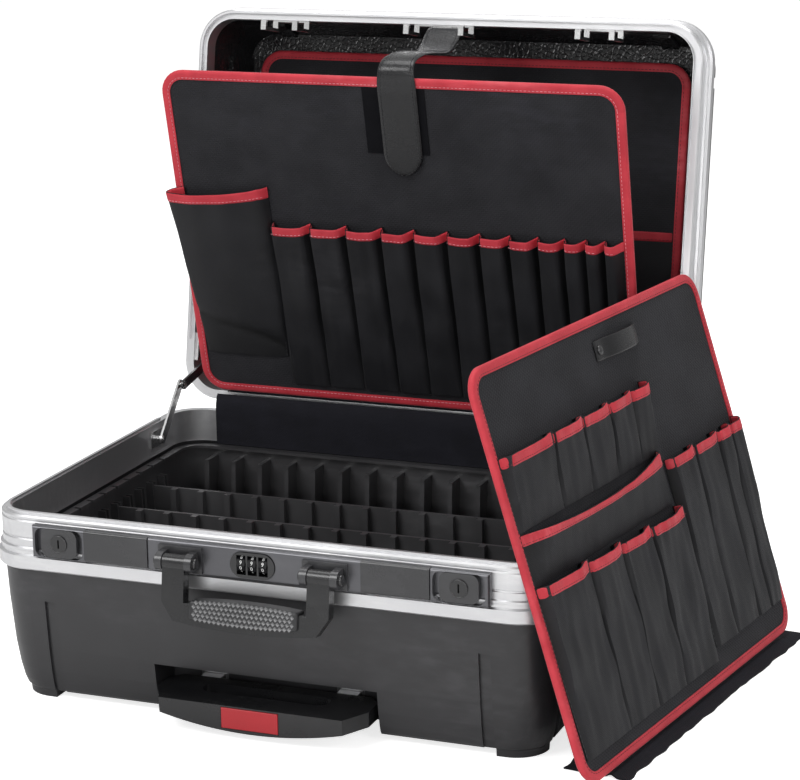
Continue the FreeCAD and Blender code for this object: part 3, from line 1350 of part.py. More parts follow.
loose_flap = fused(block(loose_flap_start, loose_board_width, -loose_flap_out, loose_flap_back,
                         0, flap_thickness),
                   block(loose_flap_start, loose_board_width - board_corner, -flap_hem_width / 2,
                         flap_hem_width / 2, 0, flap_hem_height))
save("loose_board_flap", on_loose_floor(loose_flap))


os.makedirs("parts", exist_ok=True)
for node, shape in parts.items():
    shape.exportStep("parts/" + node + ".step")
    print(node, len(shape.Solids), "solids", round(shape.Volume), "mm3",
          "valid" if shape.isValid() else "NOT VALID")
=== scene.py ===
from math import cos, pi, radians, sin, sqrt

import bpy
from mathutils import Matrix, Vector, noise


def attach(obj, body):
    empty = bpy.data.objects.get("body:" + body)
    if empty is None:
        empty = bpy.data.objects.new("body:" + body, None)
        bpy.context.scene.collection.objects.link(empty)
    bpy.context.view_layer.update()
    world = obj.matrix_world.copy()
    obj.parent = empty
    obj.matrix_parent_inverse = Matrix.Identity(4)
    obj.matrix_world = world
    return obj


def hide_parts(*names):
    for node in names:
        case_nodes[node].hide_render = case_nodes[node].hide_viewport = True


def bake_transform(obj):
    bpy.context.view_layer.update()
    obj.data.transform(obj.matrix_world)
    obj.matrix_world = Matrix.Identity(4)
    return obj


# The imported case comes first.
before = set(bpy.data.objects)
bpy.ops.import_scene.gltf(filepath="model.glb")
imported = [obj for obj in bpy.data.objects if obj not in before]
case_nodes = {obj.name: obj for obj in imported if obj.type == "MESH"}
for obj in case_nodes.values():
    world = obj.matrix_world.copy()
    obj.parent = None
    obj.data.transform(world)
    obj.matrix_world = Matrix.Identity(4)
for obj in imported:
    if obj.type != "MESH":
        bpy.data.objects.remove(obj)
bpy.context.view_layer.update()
MM = 0.001
unmoved = Matrix.Identity(4)

# Places of the three pocket boards, each drawn with its lower edge on z = 0 and its pockets towards -y
lid_lean = radians(10.2)
front_lean = radians(13.3)
loose_lean = radians(18.0)
loose_turn = radians(81.5)
lid_place = Matrix.Translation((0, 0.188, 0.1613)) @ Matrix.Rotation(-lid_lean, 4, "X")
front_place = Matrix.Translation((0, 0.1774, 0.1813)) @ Matrix.Rotation(front_lean, 4, "X")
back_place = lid_place @ Matrix.Translation((0, 0.0787, 0.02295))
floor_place = Matrix.Translation((0.2830, -0.2219, 0)) @ Matrix.Rotation(loose_turn, 4, "Z")
loose_place = floor_place @ Matrix.Translation((0, 0, 0.0064)) @ Matrix.Rotation(-loose_lean, 4, "X")
front_foot = Vector((0, 177.4, 181.3))
front_up = Vector((0, -sin(front_lean), cos(front_lean)))
panel_half = 1.5
front_size = (425, 315, 22)
back_size = (424, 314.3, 22)
loose_size = (414, 326, 22)

# Cloth on a board, in millimetres: its thicknesses, and how far it and its seams stand off the panel
cloth_thickness = 1.0
mouth_thickness = 2.3
cloth_rise = 0.55
seam_rise = 1.2


# Camera at the photograph's viewpoint
def set_camera():
    azimuth, height, roll = radians(21.4), radians(14.3), radians(-0.8)
    back = Vector((sin(azimuth) * cos(height), -cos(azimuth) * cos(height), sin(height)))
    level = Vector((0, 0, 1)).cross(back).normalized()
    rise = back.cross(level)
    right = level * cos(roll) + rise * sin(roll)
    up = rise * cos(roll) - level * sin(roll)
    camera = bpy.data.objects.new("camera", bpy.data.cameras.new("camera"))
    bpy.context.scene.collection.objects.link(camera)
    camera.data.sensor_fit = "HORIZONTAL"
    camera.data.sensor_width = 36.0
    camera.data.lens = 2599.8 / 800 * 36.0
    camera.data.clip_end = 50.0
    placed = Matrix((right, up, back)).transposed().to_4x4()
    placed.translation = right * 0.0451 + up * 0.2312 + back * 2.2402
    camera.matrix_world = placed
    bpy.context.scene.camera = camera


def add_area_light(name, place, target, size, power):
    lamp = bpy.data.lights.new(name, "AREA")
    lamp.shape = "RECTANGLE"
    lamp.size, lamp.size_y = size
    lamp.energy = power
    obj = bpy.data.objects.new(name, lamp)
    bpy.context.scene.collection.objects.link(obj)
    obj.location = place
    obj.rotation_euler = (Vector(place) - Vector(target)).to_track_quat("Z", "Y").to_euler()
    return obj


class Nodes:
    """The nodes of one shader tree."""

    def __init__(self, tree):
        self.tree = tree

    def put(self, value, socket):
        """Links an output to the socket, or sets a plain value."""
        if hasattr(value, "is_output"):
            self.tree.links.new(value, socket)
        else:
            socket.default_value = value

    def add(self, kind, inputs, output=0, **settings):
        """A new node with its settings and inputs; gives one of its outputs."""
        node = self.tree.nodes.new("ShaderNode" + kind)
        for name, value in settings.items():
            setattr(node, name, value)
        for name, value in inputs.items():
            self.put(value, node.inputs[name])
        return node.outputs[output]


def set_studio():
    scene = bpy.context.scene
    scene.view_settings.view_transform = "Standard"
    scene.world = bpy.data.worlds.new("studio")
    scene.world.use_nodes = True
    n = Nodes(scene.world.node_tree)
    n.tree.nodes.clear()
    usual, in_gloss, seen = [n.add("Background", {"Color": (1, 1, 1, 1), "Strength": strength})
                             for strength in (0.3, 0.5, 1.0)]
    lit = n.add("MixShader", {0: n.add("LightPath", {}, "Is Glossy Ray"), 1: usual, 2: in_gloss})
    mix = n.add("MixShader", {0: n.add("LightPath", {}, "Is Camera Ray"), 1: lit, 2: seen})
    n.put(mix, n.tree.nodes.new("ShaderNodeOutputWorld").inputs["Surface"])
    add_area_light("key", (-1.3, -2.0, 2.3), (0, 0, 0.2), (1.6, 1.2), 42)
    add_area_light("fill", (2.4, -1.2, 1.5), (0.1, 0, 0.2), (1.4, 1.4), 20)
    add_area_light("top", (0.0, 0.4, 2.6), (0, 0, 0.2), (2.0, 1.4), 34)
    add_area_light("front strip", (0.3, -2.6, 0.7), (0, 0, 0.1), (2.2, 0.35), 12)


def add_floor():
    bpy.ops.mesh.primitive_grid_add(x_subdivisions=6, y_subdivisions=6, size=40)
    floor = bpy.context.object
    floor.name = "floor"
    material = bpy.data.materials.new("pale floor")
    material.use_nodes = True
    n = Nodes(material.node_tree)
    n.tree.nodes.clear()
    matt = n.add("BsdfDiffuse", {"Color": (0.9, 0.9, 0.9, 1)})
    glow = n.add("Emission", {"Color": (1, 1, 1, 1), "Strength": 0.74})
    both = n.add("AddShader", {0: matt, 1: glow})
    mix = n.add("MixShader", {0: n.add("LightPath", {}, "Is Camera Ray"), 1: matt, 2: both})
    n.put(mix, n.tree.nodes.new("ShaderNodeOutputMaterial").inputs["Surface"])
    floor.data.materials.append(material)


# Shader node groups, shared by the finishes. Each takes a place in metres and gives a shade and a height
class GroupMaker(Nodes):
    def __init__(self, name, inputs, outputs=("Shade", "Height")):
        super().__init__(bpy.data.node_groups.new(name, "ShaderNodeTree"))
        self.tree.interface.new_socket("Vector", in_out="INPUT", socket_type="NodeSocketVector")
        for label, value in inputs:
            socket = self.tree.interface.new_socket(label, in_out="INPUT", socket_type="NodeSocketFloat")
            socket.default_value = value
        for label in outputs:
            self.tree.interface.new_socket(label, in_out="OUTPUT", socket_type="NodeSocketFloat")
        self.start = self.tree.nodes.new("NodeGroupInput")
        self.end = self.tree.nodes.new("NodeGroupOutput")

    def math(self, operation, *values):
        return self.add("Math", dict(enumerate(values)), operation=operation)

    def noise(self, vector, scale, detail=3.0, rough=0.5, output="Fac"):
        inputs = {"Vector": vector, "Scale": scale, "Detail": detail, "Roughness": rough}
        return self.add("TexNoise", inputs, output)

    def cells(self, vector, scale, feature="F1"):
        return self.add("TexVoronoi", {"Vector": vector, "Scale": scale}, "Distance", feature=feature)

    def stretched(self, vector, scale):
        return self.add("VectorMath", {0: vector, 1: scale}, operation="MULTIPLY")

    def parts(self, vector):
        return self.add("SeparateXYZ", {0: vector}).node.outputs

    def ramp(self, value, low, high):
        inputs = {"Value": value, "From Min": low, "From Max": high}
        return self.add("MapRange", inputs, "Result", interpolation_type="SMOOTHSTEP")

    def given(self, label="Vector"):
        return self.start.outputs[label]

    def wave(self, value):
        return self.math("ABSOLUTE", self.math("SINE", value))

    def mixed(self, first, share, second):
        """A share of the first value and the rest of the second."""
        return self.math("ADD", self.math("MULTIPLY", first, share), self.math("MULTIPLY", second, 1 - share))

    def drift(self, detail, low=0.3, high=0.7):
        """Slow mottling."""
        return self.ramp(self.noise(self.given(), self.given("Mottle"), detail), low, high)

    def finish(self, **outputs):
        for label, value in outputs.items():
            self.put(value, self.end.inputs[label])
        return self.tree


def make_moulded_grain():
    """Fine pebbled grain of moulded plastic, with slow mottling."""
    g = GroupMaker("moulded grain", [("Grain", 1400.0), ("Mottle", 14.0)])
    fine = g.noise(g.given(), g.given("Grain"), 2.0)
    height = g.mixed(g.cells(g.given(), g.given("Grain")), 0.6, fine)
    return g.finish(Shade=g.mixed(g.drift(4.0), 0.6, fine), Height=height)


def make_drawn_metal():
    """Long fine lines of drawn metal: they change only across the section."""
    g = GroupMaker("drawn metal", [("Lines", 1.0), ("Mottle", 9.0)])
    lines = g.noise(g.stretched(g.given(), (3.0, 3.0, 2600.0)), g.given("Lines"), 3.0, 0.6)
    return g.finish(Shade=g.mixed(lines, 0.55, g.drift(3.0)), Height=lines)


def make_plain_weave():
    """Over and under threads on a piece's own map, in metres, with slow colour drift."""
    g = GroupMaker("plain weave", [("Pitch", 0.0009), ("Mottle", 24.0)])
    x, y, _ = g.parts(g.given())
    across = g.math("DIVIDE", x, g.given("Pitch"))
    along = g.math("DIVIDE", y, g.given("Pitch"))
    warp = g.wave(g.math("MULTIPLY", across, pi))
    weft = g.wave(g.math("MULTIPLY", along, pi))
    over = g.math("PINGPONG", g.math("ADD", g.math("FLOOR", across), g.math("FLOOR", along)), 1.0)
    under = g.math("SUBTRACT", 1.0, over)
    height = g.math("ADD", g.math("MULTIPLY", warp, over), g.math("MULTIPLY", weft, under))
    return g.finish(Shade=g.mixed(height, 0.45, g.drift(4.0, 0.25, 0.75)), Height=height)


def make_tape_ribs():
    """Close ribs across a woven tape, its map running along x."""
    g = GroupMaker("tape ribs", [("Pitch", 0.0007), ("Mottle", 40.0)])
    x, y, _ = g.parts(g.given())
    ribs = g.wave(g.math("MULTIPLY", g.math("DIVIDE", x, g.given("Pitch")), pi))
    edge = g.wave(g.math("MULTIPLY", y, 2200.0))
    return g.finish(Shade=g.mixed(ribs, 0.4, g.drift(4.0)), Height=g.mixed(ribs, 0.8, edge))


def make_leather_grain():
    """Pebbled grain with fine creases, for the strap and for the inside of the lid."""
    g = GroupMaker("pebbled leather", [("Grain", 420.0), ("Mottle", 20.0)])
    wander = g.noise(g.given(), 160.0, 2.0, 0.5, "Color")
    offset = g.stretched(wander, (0.0016, 0.0016, 0.0016))
    bent = g.add("VectorMath", {0: g.given(), 1: offset}, operation="ADD")
    creases = g.ramp(g.cells(bent, g.given("Grain"), "DISTANCE_TO_EDGE"), 0.0, 0.22)
    return g.finish(Shade=g.mixed(creases, 0.5, g.drift(4.0)), Height=creases)


def make_fuzz():
    """Short loops of a fuzzy fastening patch."""
    g = GroupMaker("short loops", [("Loops", 900.0), ("Mottle", 60.0)])
    loops = g.noise(g.given(), g.given("Loops"), 6.0, 0.75)
    return g.finish(Shade=g.mixed(loops, 0.7, g.drift(3.0)), Height=loops)


def make_handling_wear():
    """Light rubbing and dust that lifts or dulls a surface in patches."""
    g = GroupMaker("handling wear", [("Patch", 7.0), ("Scratch", 1.0)], ("Wear",))
    patch = g.ramp(g.noise(g.given(), g.given("Patch"), 5.0, 0.6), 0.48, 0.78)
    scuffs = g.noise(g.stretched(g.given(), (40.0, 300.0, 120.0)), g.given("Scratch"), 4.0)
    return g.finish(Wear=g.math("MULTIPLY", patch, g.ramp(scuffs, 0.35, 0.75)))


groups = {"grain": make_moulded_grain(), "drawn": make_drawn_metal(), "weave": make_plain_weave(),
          "ribs": make_tape_ribs(), "leather": make_leather_grain(), "loops": make_fuzz(),
          "wear": make_handling_wear()}


class Finish(Nodes):
    """A finish made of one pattern group, the wear group and a Principled shader."""

    def __init__(self, name):
        self.material = bpy.data.materials.new(name)
        self.material.use_nodes = True
        super().__init__(self.material.node_tree)
        self.coordinates = self.tree.nodes.new("ShaderNodeTexCoord")

    def place(self, space, turn=None):
        socket = self.coordinates.outputs[space]
        if turn is None:
            return socket
        return self.add("Mapping", {"Vector": socket, "Rotation": turn})

    def value(self, name):
        """A number that the mesh carries at each of its points."""
        return self.add("Attribute", {}, "Fac", attribute_name=name)

    def group(self, key, vector, **values):
        return self.add("Group", {"Vector": vector, **values}, node_tree=groups[key]).node.outputs

    def blend(self, factor, first, second):
        colours = [value if hasattr(value, "is_output") else (*value, 1) for value in (first, second)]
        return self.add("Mix", {0: factor, 6: colours[0], 7: colours[1]}, 2, data_type="RGBA")

    def span(self, factor, low, high):
        return self.add("MapRange", {"Value": factor, "To Min": low, "To Max": high}, "Result")

    def bump(self, height, strength, distance):
        inputs = {"Height": height, "Strength": strength, "Distance": distance}
        return self.add("Bump", inputs, "Normal")

    def shade(self, inputs):
        """Sets the Principled shader, and gives the material."""
        for label, value in inputs.items():
            self.put(value, self.tree.nodes["Principled BSDF"].inputs[label])
        return self.material


def surface(name, pattern, dark, light, rough, metallic=0.0, space="Object", bump=(0.25, 0.0002), turn=None,
            worn=None, coat=0.0, coat_rough=0.1, sheen=0.0, specular=0.5, fold_shade=None, **values):
    """A finish from a pattern group: two colours, a span of roughness, a bump, a worn colour, painted shade
    in cloth valleys.
    """
    f = Finish(name)
    cover = f.group(pattern, f.place(space, turn), **values)
    wear = f.group("wear", f.place("Object"))["Wear"]
    worn = worn or [min(1.0, channel * 1.6 + 0.01) for channel in light]
    colour = f.blend(wear, f.blend(cover["Shade"], dark, light), worn)
    # Painted shade: where the mesh's lift value is low, in the valleys between pockets, the colour goes
    # towards a far darker one.
    if fold_shade is not None:
        colour = f.blend(f.value(fold_shade), [channel * 0.12 for channel in dark], colour)
    return f.shade({
        "Base Color": colour, "Roughness": f.span(cover["Shade"], *rough),
        "Normal": f.bump(cover["Height"], *bump), "Metallic": metallic, "Coat Weight": coat,
        "Coat Roughness": coat_rough, "Sheen Weight": sheen, "Sheen Roughness": 0.3,
        "Specular IOR Level": specular})


def lid_shell_finish():
    """Satin grained plastic outside, glossy and coarsely pebbled inside."""
    f = Finish("lid shell plastic")
    place = f.place("Object")
    fine = f.group("grain", place, Grain=900.0)
    coarse = f.group("leather", place, Grain=230.0)
    normal = f.coordinates.outputs["Normal"]
    outward = f.add("VectorMath", {0: place, 1: (0, 0.262, 0.345)}, operation="SUBTRACT")
    facing = f.add("VectorMath", {0: outward, 1: normal}, "Value", operation="DOT_PRODUCT")
    inside = f.add("Math", {0: facing, 1: 0.0}, operation="LESS_THAN")
    height = f.add("Mix", {0: inside, 2: fine["Height"], 3: coarse["Height"]})
    return f.shade({
        "Base Color": f.blend(fine["Shade"], (0.012, 0.012, 0.013), (0.02, 0.02, 0.022)),
        "Normal": f.bump(height, 0.35, 0.0005), "Roughness": f.span(inside, 0.4, 0.16)})


def set_finishes():
    silver = ((0.62, 0.62, 0.635), (0.72, 0.72, 0.73))
    finishes = {
        "shell": surface(
            "base shell plastic", "grain", (0.019, 0.0185, 0.02), (0.028, 0.0275, 0.03), (0.3, 0.42),
            bump=(0.22, 0.0002), specular=0.55, Grain=1100.0),
        "lid shell": lid_shell_finish(),
        "base frame": surface(
            "drawn aluminium", "drawn", *silver, (0.3, 0.38), 0.92, bump=(0.03, 0.0001),
            worn=(0.9, 0.9, 0.9)),
        "lid frame": surface(
            "drawn aluminium, lid", "drawn", *silver, (0.3, 0.38), 0.92, bump=(0.03, 0.0001),
            turn=(radians(90) + lid_lean, 0, 0), worn=(0.9, 0.9, 0.9)),
        "lock bar": surface(
            "satin dark lock bar", "grain", (0.11, 0.11, 0.118), (0.15, 0.15, 0.16), (0.3, 0.38), 0.8,
            bump=(0.06, 0.0001), worn=(0.17, 0.17, 0.18), Grain=2000.0),
        "lever": surface(
            "satin black lever", "grain", (0.026, 0.026, 0.028), (0.038, 0.038, 0.041), (0.24, 0.34),
            bump=(0.1, 0.0001), coat=0.3, coat_rough=0.2, Grain=2000.0),
        "gloss black": surface(
            "glossy black plastic", "grain", (0.004, 0.004, 0.005), (0.008, 0.008, 0.009), (0.1, 0.18),
            bump=(0.06, 0.0002), coat=0.5, Grain=700.0),
        "tray": surface(
            "moulded tray plastic", "grain", (0.034, 0.033, 0.035), (0.052, 0.051, 0.054), (0.26, 0.4),
            bump=(0.16, 0.0003), coat=0.35, coat_rough=0.2, specular=0.8, Grain=600.0),
        "divider": surface(
            "matt divider plastic", "grain", (0.04, 0.039, 0.041), (0.06, 0.059, 0.062), (0.34, 0.48),
            bump=(0.25, 0.0003), specular=0.7, Grain=900.0),
        "handle": surface(
            "matt handle plastic", "grain", (0.007, 0.007, 0.008), (0.012, 0.012, 0.013), (0.22, 0.32),
            bump=(0.2, 0.0002), coat=0.2, coat_rough=0.25, Grain=1300.0),
        "rubber": surface(
            "grip rubber", "grain", (0.014, 0.014, 0.015), (0.024, 0.024, 0.026), (0.4, 0.55),
            bump=(0.3, 0.0003), Grain=1000.0),
        "knurl": surface(
            "grip knurling", "grain", (0.2, 0.2, 0.205), (0.32, 0.32, 0.325), (0.12, 0.2), 0.8,
            bump=(0.1, 0.0001), coat=0.6, Grain=1500.0),
        "tyre": surface(
            "tyre rubber", "grain", (0.01, 0.01, 0.01), (0.02, 0.02, 0.02), (0.6, 0.75), bump=(0.4, 0.0004),
            Grain=800.0),
        "steel": surface(
            "bright steel", "drawn", (0.6, 0.6, 0.6), (0.75, 0.75, 0.75), (0.18, 0.3), 1.0,
            bump=(0.06, 0.0001)),
        "dark steel": surface(
            "blackened steel", "grain", (0.014, 0.014, 0.015), (0.03, 0.03, 0.032), (0.2, 0.3),
            bump=(0.08, 0.0001), specular=0.8),
        "tube": surface(
            "satin tube", "drawn", (0.5, 0.5, 0.51), (0.62, 0.62, 0.63), (0.26, 0.36), 1.0,
            bump=(0.05, 0.0001), turn=(radians(90), 0, 0)),
        "red": surface(
            "red button plastic", "grain", (0.36, 0.012, 0.018), (0.46, 0.02, 0.028), (0.32, 0.44),
            bump=(0.15, 0.0002), Grain=1500.0, worn=(0.5, 0.05, 0.05)),
        "panel cloth": surface(
            "board cloth", "weave", (0.007, 0.007, 0.009), (0.028, 0.028, 0.032), (0.72, 0.86), space="UV",
            bump=(0.6, 0.0004), sheen=0.1, specular=0.25, worn=(0.032, 0.032, 0.04), Pitch=0.0019),
        # Pocket cloth with painted shade, taken from each point's lift value, in the valleys between pockets.
        "pocket cloth": surface(
            "pocket nylon", "weave", (0.004, 0.004, 0.005), (0.015, 0.015, 0.018), (0.46, 0.6), space="UV",
            bump=(0.4, 0.0003), sheen=0.03, specular=0.3, fold_shade="lift", worn=(0.028, 0.028, 0.032),
            Pitch=0.0011),
        "flap cloth": surface(
            "flap cloth", "weave", (0.004, 0.004, 0.006), (0.014, 0.014, 0.02), (0.74, 0.88), space="UV",
            bump=(0.5, 0.0003), sheen=0.05, specular=0.2, worn=(0.02, 0.02, 0.028), Pitch=0.0012),
        "tape": surface(
            "red binding tape", "ribs", (0.44, 0.022, 0.036), (0.64, 0.052, 0.072), (0.5, 0.65), space="UV",
            bump=(0.4, 0.0003), sheen=0.15, specular=0.3, worn=(0.7, 0.12, 0.14)),
        "strap": surface(
            "pebbled strap", "leather", (0.005, 0.005, 0.006), (0.011, 0.011, 0.0125), (0.2, 0.3), space="UV",
            bump=(0.3, 0.0002), coat=0.12, coat_rough=0.18, specular=0.4, Grain=700.0),
        "loops": surface(
            "fuzzy loops", "loops", (0.003, 0.003, 0.004), (0.009, 0.009, 0.011), (0.88, 0.96), space="UV",
            bump=(0.8, 0.0008), sheen=0.02, specular=0.1, worn=(0.01, 0.01, 0.012)),
        "dark thread": surface(
            "dark red thread", "ribs", (0.1, 0.008, 0.014), (0.17, 0.015, 0.024), (0.6, 0.7)),
        "pale thread": surface(
            "pale pink thread", "ribs", (0.55, 0.22, 0.26), (0.72, 0.34, 0.38), (0.6, 0.7)),
        "black thread": surface("black thread", "ribs", (0.02, 0.02, 0.022), (0.05, 0.05, 0.055), (0.5, 0.6)),
        "digits": surface("white digits", "grain", (0.75, 0.75, 0.74), (0.85, 0.85, 0.84), (0.4, 0.5)),
    }
    wears = {
        "shell": "base_shell wheel_housings lid_stand_feet",
        "lid shell": "lid_shell",
        "base frame": "base_frame",
        "lid frame": "lid_frame",
        "lock bar": "lock_bar",
        "lever": "latch_lever_right latch_lever_left key_slide_right key_slide_left handle_brackets",
        "gloss black": "combination_housing dial_1 dial_2 dial_3 key_cylinder_right key_cylinder_left",
        "tray": "base_tray",
        "divider": "divider_front divider_rear",
        "handle": "carry_handle trolley_handle trolley_mounts wheel_hub_right wheel_hub_left",
        "rubber": "carry_handle_grip",
        "tyre": "wheel_tyre_right wheel_tyre_left",
        "steel": "hinge_leaf_base hinge_leaf_lid hinge_and_lock_pins stay_base_brackets stay_lid_brackets "
                 "stay_lower_right stay_lower_left wheel_axles button_spring lid_catches",
        "dark steel": "stay_upper_right stay_upper_left handle_pins",
        "tube": "outer_tubes middle_tubes inner_tubes",
        "red": "trolley_button",
        "panel cloth": "front_board loose_board back_board",
        "pocket cloth": "front_pockets_left front_pockets_right back_board_pocket loose_pockets_upper "
                        "loose_pockets_lower",
        "flap cloth": "rear_flap loose_board_flap board_hinge_strip",
        "tape": "front_board_binding loose_board_binding",
        "strap": "lid_strap",
    }
    for finish, names in wears.items():
        for name in names.split():
            slots = case_nodes[name].data.materials
            slots.clear()
            slots.append(finishes[finish])
    return finishes


# Tools for soft goods and for small pieces
def deselect_all():
    bpy.ops.object.select_all(action="DESELECT")


def take(obj):
    deselect_all()
    obj.select_set(True)
    bpy.context.view_layer.objects.active = obj


def apply_modifiers(obj):
    take(obj)
    for name in [modifier.name for modifier in obj.modifiers]:
        bpy.ops.object.modifier_apply(modifier=name)


def settle(obj, place):
    """Puts a finished piece in its place, in its mesh."""
    obj.data.transform(place @ obj.matrix_world)
    obj.matrix_world = unmoved


def face_outwards(obj, merged=False):
    """Turns all faces outwards, if asked after merging the points that lie together."""
    take(obj)
    bpy.ops.object.mode_set(mode="EDIT")
    bpy.ops.mesh.select_all(action="SELECT")
    if merged:
        bpy.ops.mesh.remove_doubles(threshold=0.00001)
    bpy.ops.mesh.normals_make_consistent(inside=False)
    bpy.ops.object.mode_set(mode="OBJECT")


def join_all(pieces, name):
    deselect_all()
    for piece in pieces:
        piece.select_set(True)
    bpy.context.view_layer.objects.active = pieces[0]
    bpy.ops.object.join()
    joined = bpy.context.object
    joined.name = name
    return joined


def new_piece(name, points, faces):
    mesh = bpy.data.meshes.new(name)
    mesh.from_pydata([tuple(point) for point in points], [], faces)
    obj = bpy.data.objects.new(name, mesh)
    bpy.context.scene.collection.objects.link(obj)
    return obj


def from_rows(name, rows, closed=False):
    """A sheet through rows of points, its map in metres along the rows and from row to row."""
    width = len(rows[0])
    points = [point for row in rows for point in row]
    faces = []
    last = width if closed else width - 1
    for r in range(len(rows) - 1):
        for c in range(last):
            d = (c + 1) % width
            faces.append((r * width + c, r * width + d, (r + 1) * width + d, (r + 1) * width + c))
    middle = rows[len(rows) // 2]
    across = [0.0]
    for first, second in zip(middle, middle[1:] + middle[:1]):
        across.append(across[-1] + (Vector(second) - Vector(first)).length)
    along = [0.0]
    for first, second in zip(rows, rows[1:]):
        along.append(along[-1] + (Vector(second[0]) - Vector(first[0])).length)
    obj = new_piece(name, points, faces)
    layer = obj.data.uv_layers.new(name="map")
    index = 0
    for r in range(len(rows) - 1):
        for c in range(last):
            for row, column in ((r, c), (r, c + 1), (r + 1, c + 1), (r + 1, c)):
                layer.data[index].uv = (across[column], along[row])
                index += 1
    return obj


def set_folds(obj, lifts):
    """Keeps at every point how far it stands out, from 0 to 1; the cloth's finish paints shade where it is
    low.
    """
    layer = obj.data.attributes.new("lift", "FLOAT", "POINT")
    for number, value in enumerate(lifts):
        layer.data[number].value = value


def thicken(obj, thickness, offset=0.0, smooth=0):
    """Gives a sheet its thickness, and rounds it."""
    solid = obj.modifiers.new("thickness", "SOLIDIFY")
    solid.thickness = thickness
    solid.offset = offset
    if smooth:
        round_off = obj.modifiers.new("round", "SUBSURF")
        round_off.levels = smooth
        round_off.render_levels = smooth
    apply_modifiers(obj)
    take(obj)
    bpy.ops.object.shade_smooth_by_angle(angle=radians(50))


def finish_piece(obj, finish, body, slot_name, *replaced):
    obj.data.materials.clear()
    obj.data.materials.append(finish)
    if body:
        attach(obj, body)
    if replaced:
        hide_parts(*replaced)


def lay_cloth(name, rows, thickness, place, finish, body, *replaced, slot_name="pocket_cloth", smooth=0):
    """A sheet through rows of points, with its thickness and in its place."""
    cloth = from_rows(name, rows)
    thicken(cloth, thickness * MM, smooth=smooth)
    settle(cloth, place)
    finish_piece(cloth, finish, body, slot_name, *replaced)
    return cloth


def eased(share):
    share = min(max(share, 0.0), 1.0)
    return share * share * (3 - 2 * share)


def lerp(a, b, share):
    return a + (b - a) * share


def rounded_path(width, height, radius, steps=8):
    """Points and outward normals round a board's edge, in x and z."""
    path = []
    half = width / 2
    for cx, cz, turn in ((half - radius, height - radius, 0), (radius - half, height - radius, 1),
                         (radius - half, radius, 2), (half - radius, radius, 3)):
        for step in range(steps + 1):
            angle = (turn + step / steps) * pi / 2
            normal = Vector((cos(angle), 0, sin(angle)))
            path.append((Vector((cx, 0, cz)) + normal * radius, normal))
    spaced = []
    for (point, normal), (following, next_normal) in zip(path, path[1:] + path[:1]):
        spaced.append((point, normal))
        gap = (following - point).length
        pieces = max(int(gap / 12), 1)
        for number in range(1, pieces):
            spaced.append((point.lerp(following, number / pieces), normal.lerp(next_normal, number / pieces)))
    return spaced


def curve_points(points, steps=6):
    """A smooth line through a few points."""
    ends = [points[0]] + list(points) + [points[-1]]
    line = []
    for a, b, c, d in zip(ends, ends[1:], ends[2:], ends[3:]):
        for step in range(steps):
            t = step / steps
            line.append(0.5 * ((2 * b) + (c - a) * t + (2 * a - 5 * b + 4 * c - d) * t * t
                               + (3 * b - a - 3 * c + d) * t ** 3))
    line.append(points[-1])
    return line


def stitch_row(name, points, normals, finish, body, slot_name, pitch=3.6, length=2.6, wide=0.55, high=0.4,
               place=unmoved):
    """Small raised stitches along a line of points, one thread at a time."""
    verts, faces = [], []
    walked = 0.0
    following = pitch / 2
    shape = [(-0.5, 0, 0), (-0.3, 0.5, 0), (-0.3, 0, 1), (-0.3, -0.5, 0), (0.3, 0.5, 0), (0.3, 0, 1),
             (0.3, -0.5, 0), (0.5, 0, 0), (0, 0, -0.3)]
    sides = [(0, 2, 1), (0, 3, 2), (1, 2, 5, 4), (2, 3, 6, 5), (4, 5, 7), (5, 6, 7), (0, 1, 8), (1, 4, 8),
             (4, 7, 8), (7, 6, 8), (6, 3, 8), (3, 0, 8)]
    for (a, b), n in zip(zip(points, points[1:]), normals):
        run = (b - a).length
        if run < 1e-6:
            continue
        along = (b - a) / run
        up = (n - along * n.dot(along)).normalized()
        side = up.cross(along)
        while following <= walked + run:
            middle = a + along * (following - walked)
            start = len(verts)
            for x, y, z in shape:
                verts.append((middle + along * (x * length) + side * (y * wide) + up * (z * high)) * MM)
            faces += [tuple(start + i for i in face) for face in sides]
            following += pitch
        walked += run
    obj = new_piece(name, verts, faces)
    settle(obj, place)
    face_outwards(obj)
    finish_piece(obj, finish, body, slot_name)
    return obj


def make_panel(name, width, height, corner, place, finish, body, *replaced):
    """A stiff board under cloth: a flat outline with round corners, thickened."""
    inset = 1.2
    path = rounded_path(width - 2 * inset, height - 2 * inset, corner - inset)
    outline = [(point + Vector((0, 0, inset))) * MM for point, _ in path]
    board = new_piece(name, outline, [tuple(range(len(outline)))])
    layer = board.data.uv_layers.new(name="map")
    for loop in board.data.loops:
        point = board.data.vertices[loop.vertex_index].co
        layer.data[loop.index].uv = (point.x, point.z)
    thicken(board, 2 * panel_half * MM)
    settle(board, place)
    finish_piece(board, finish, body, "board_panel", *replaced)
    return board


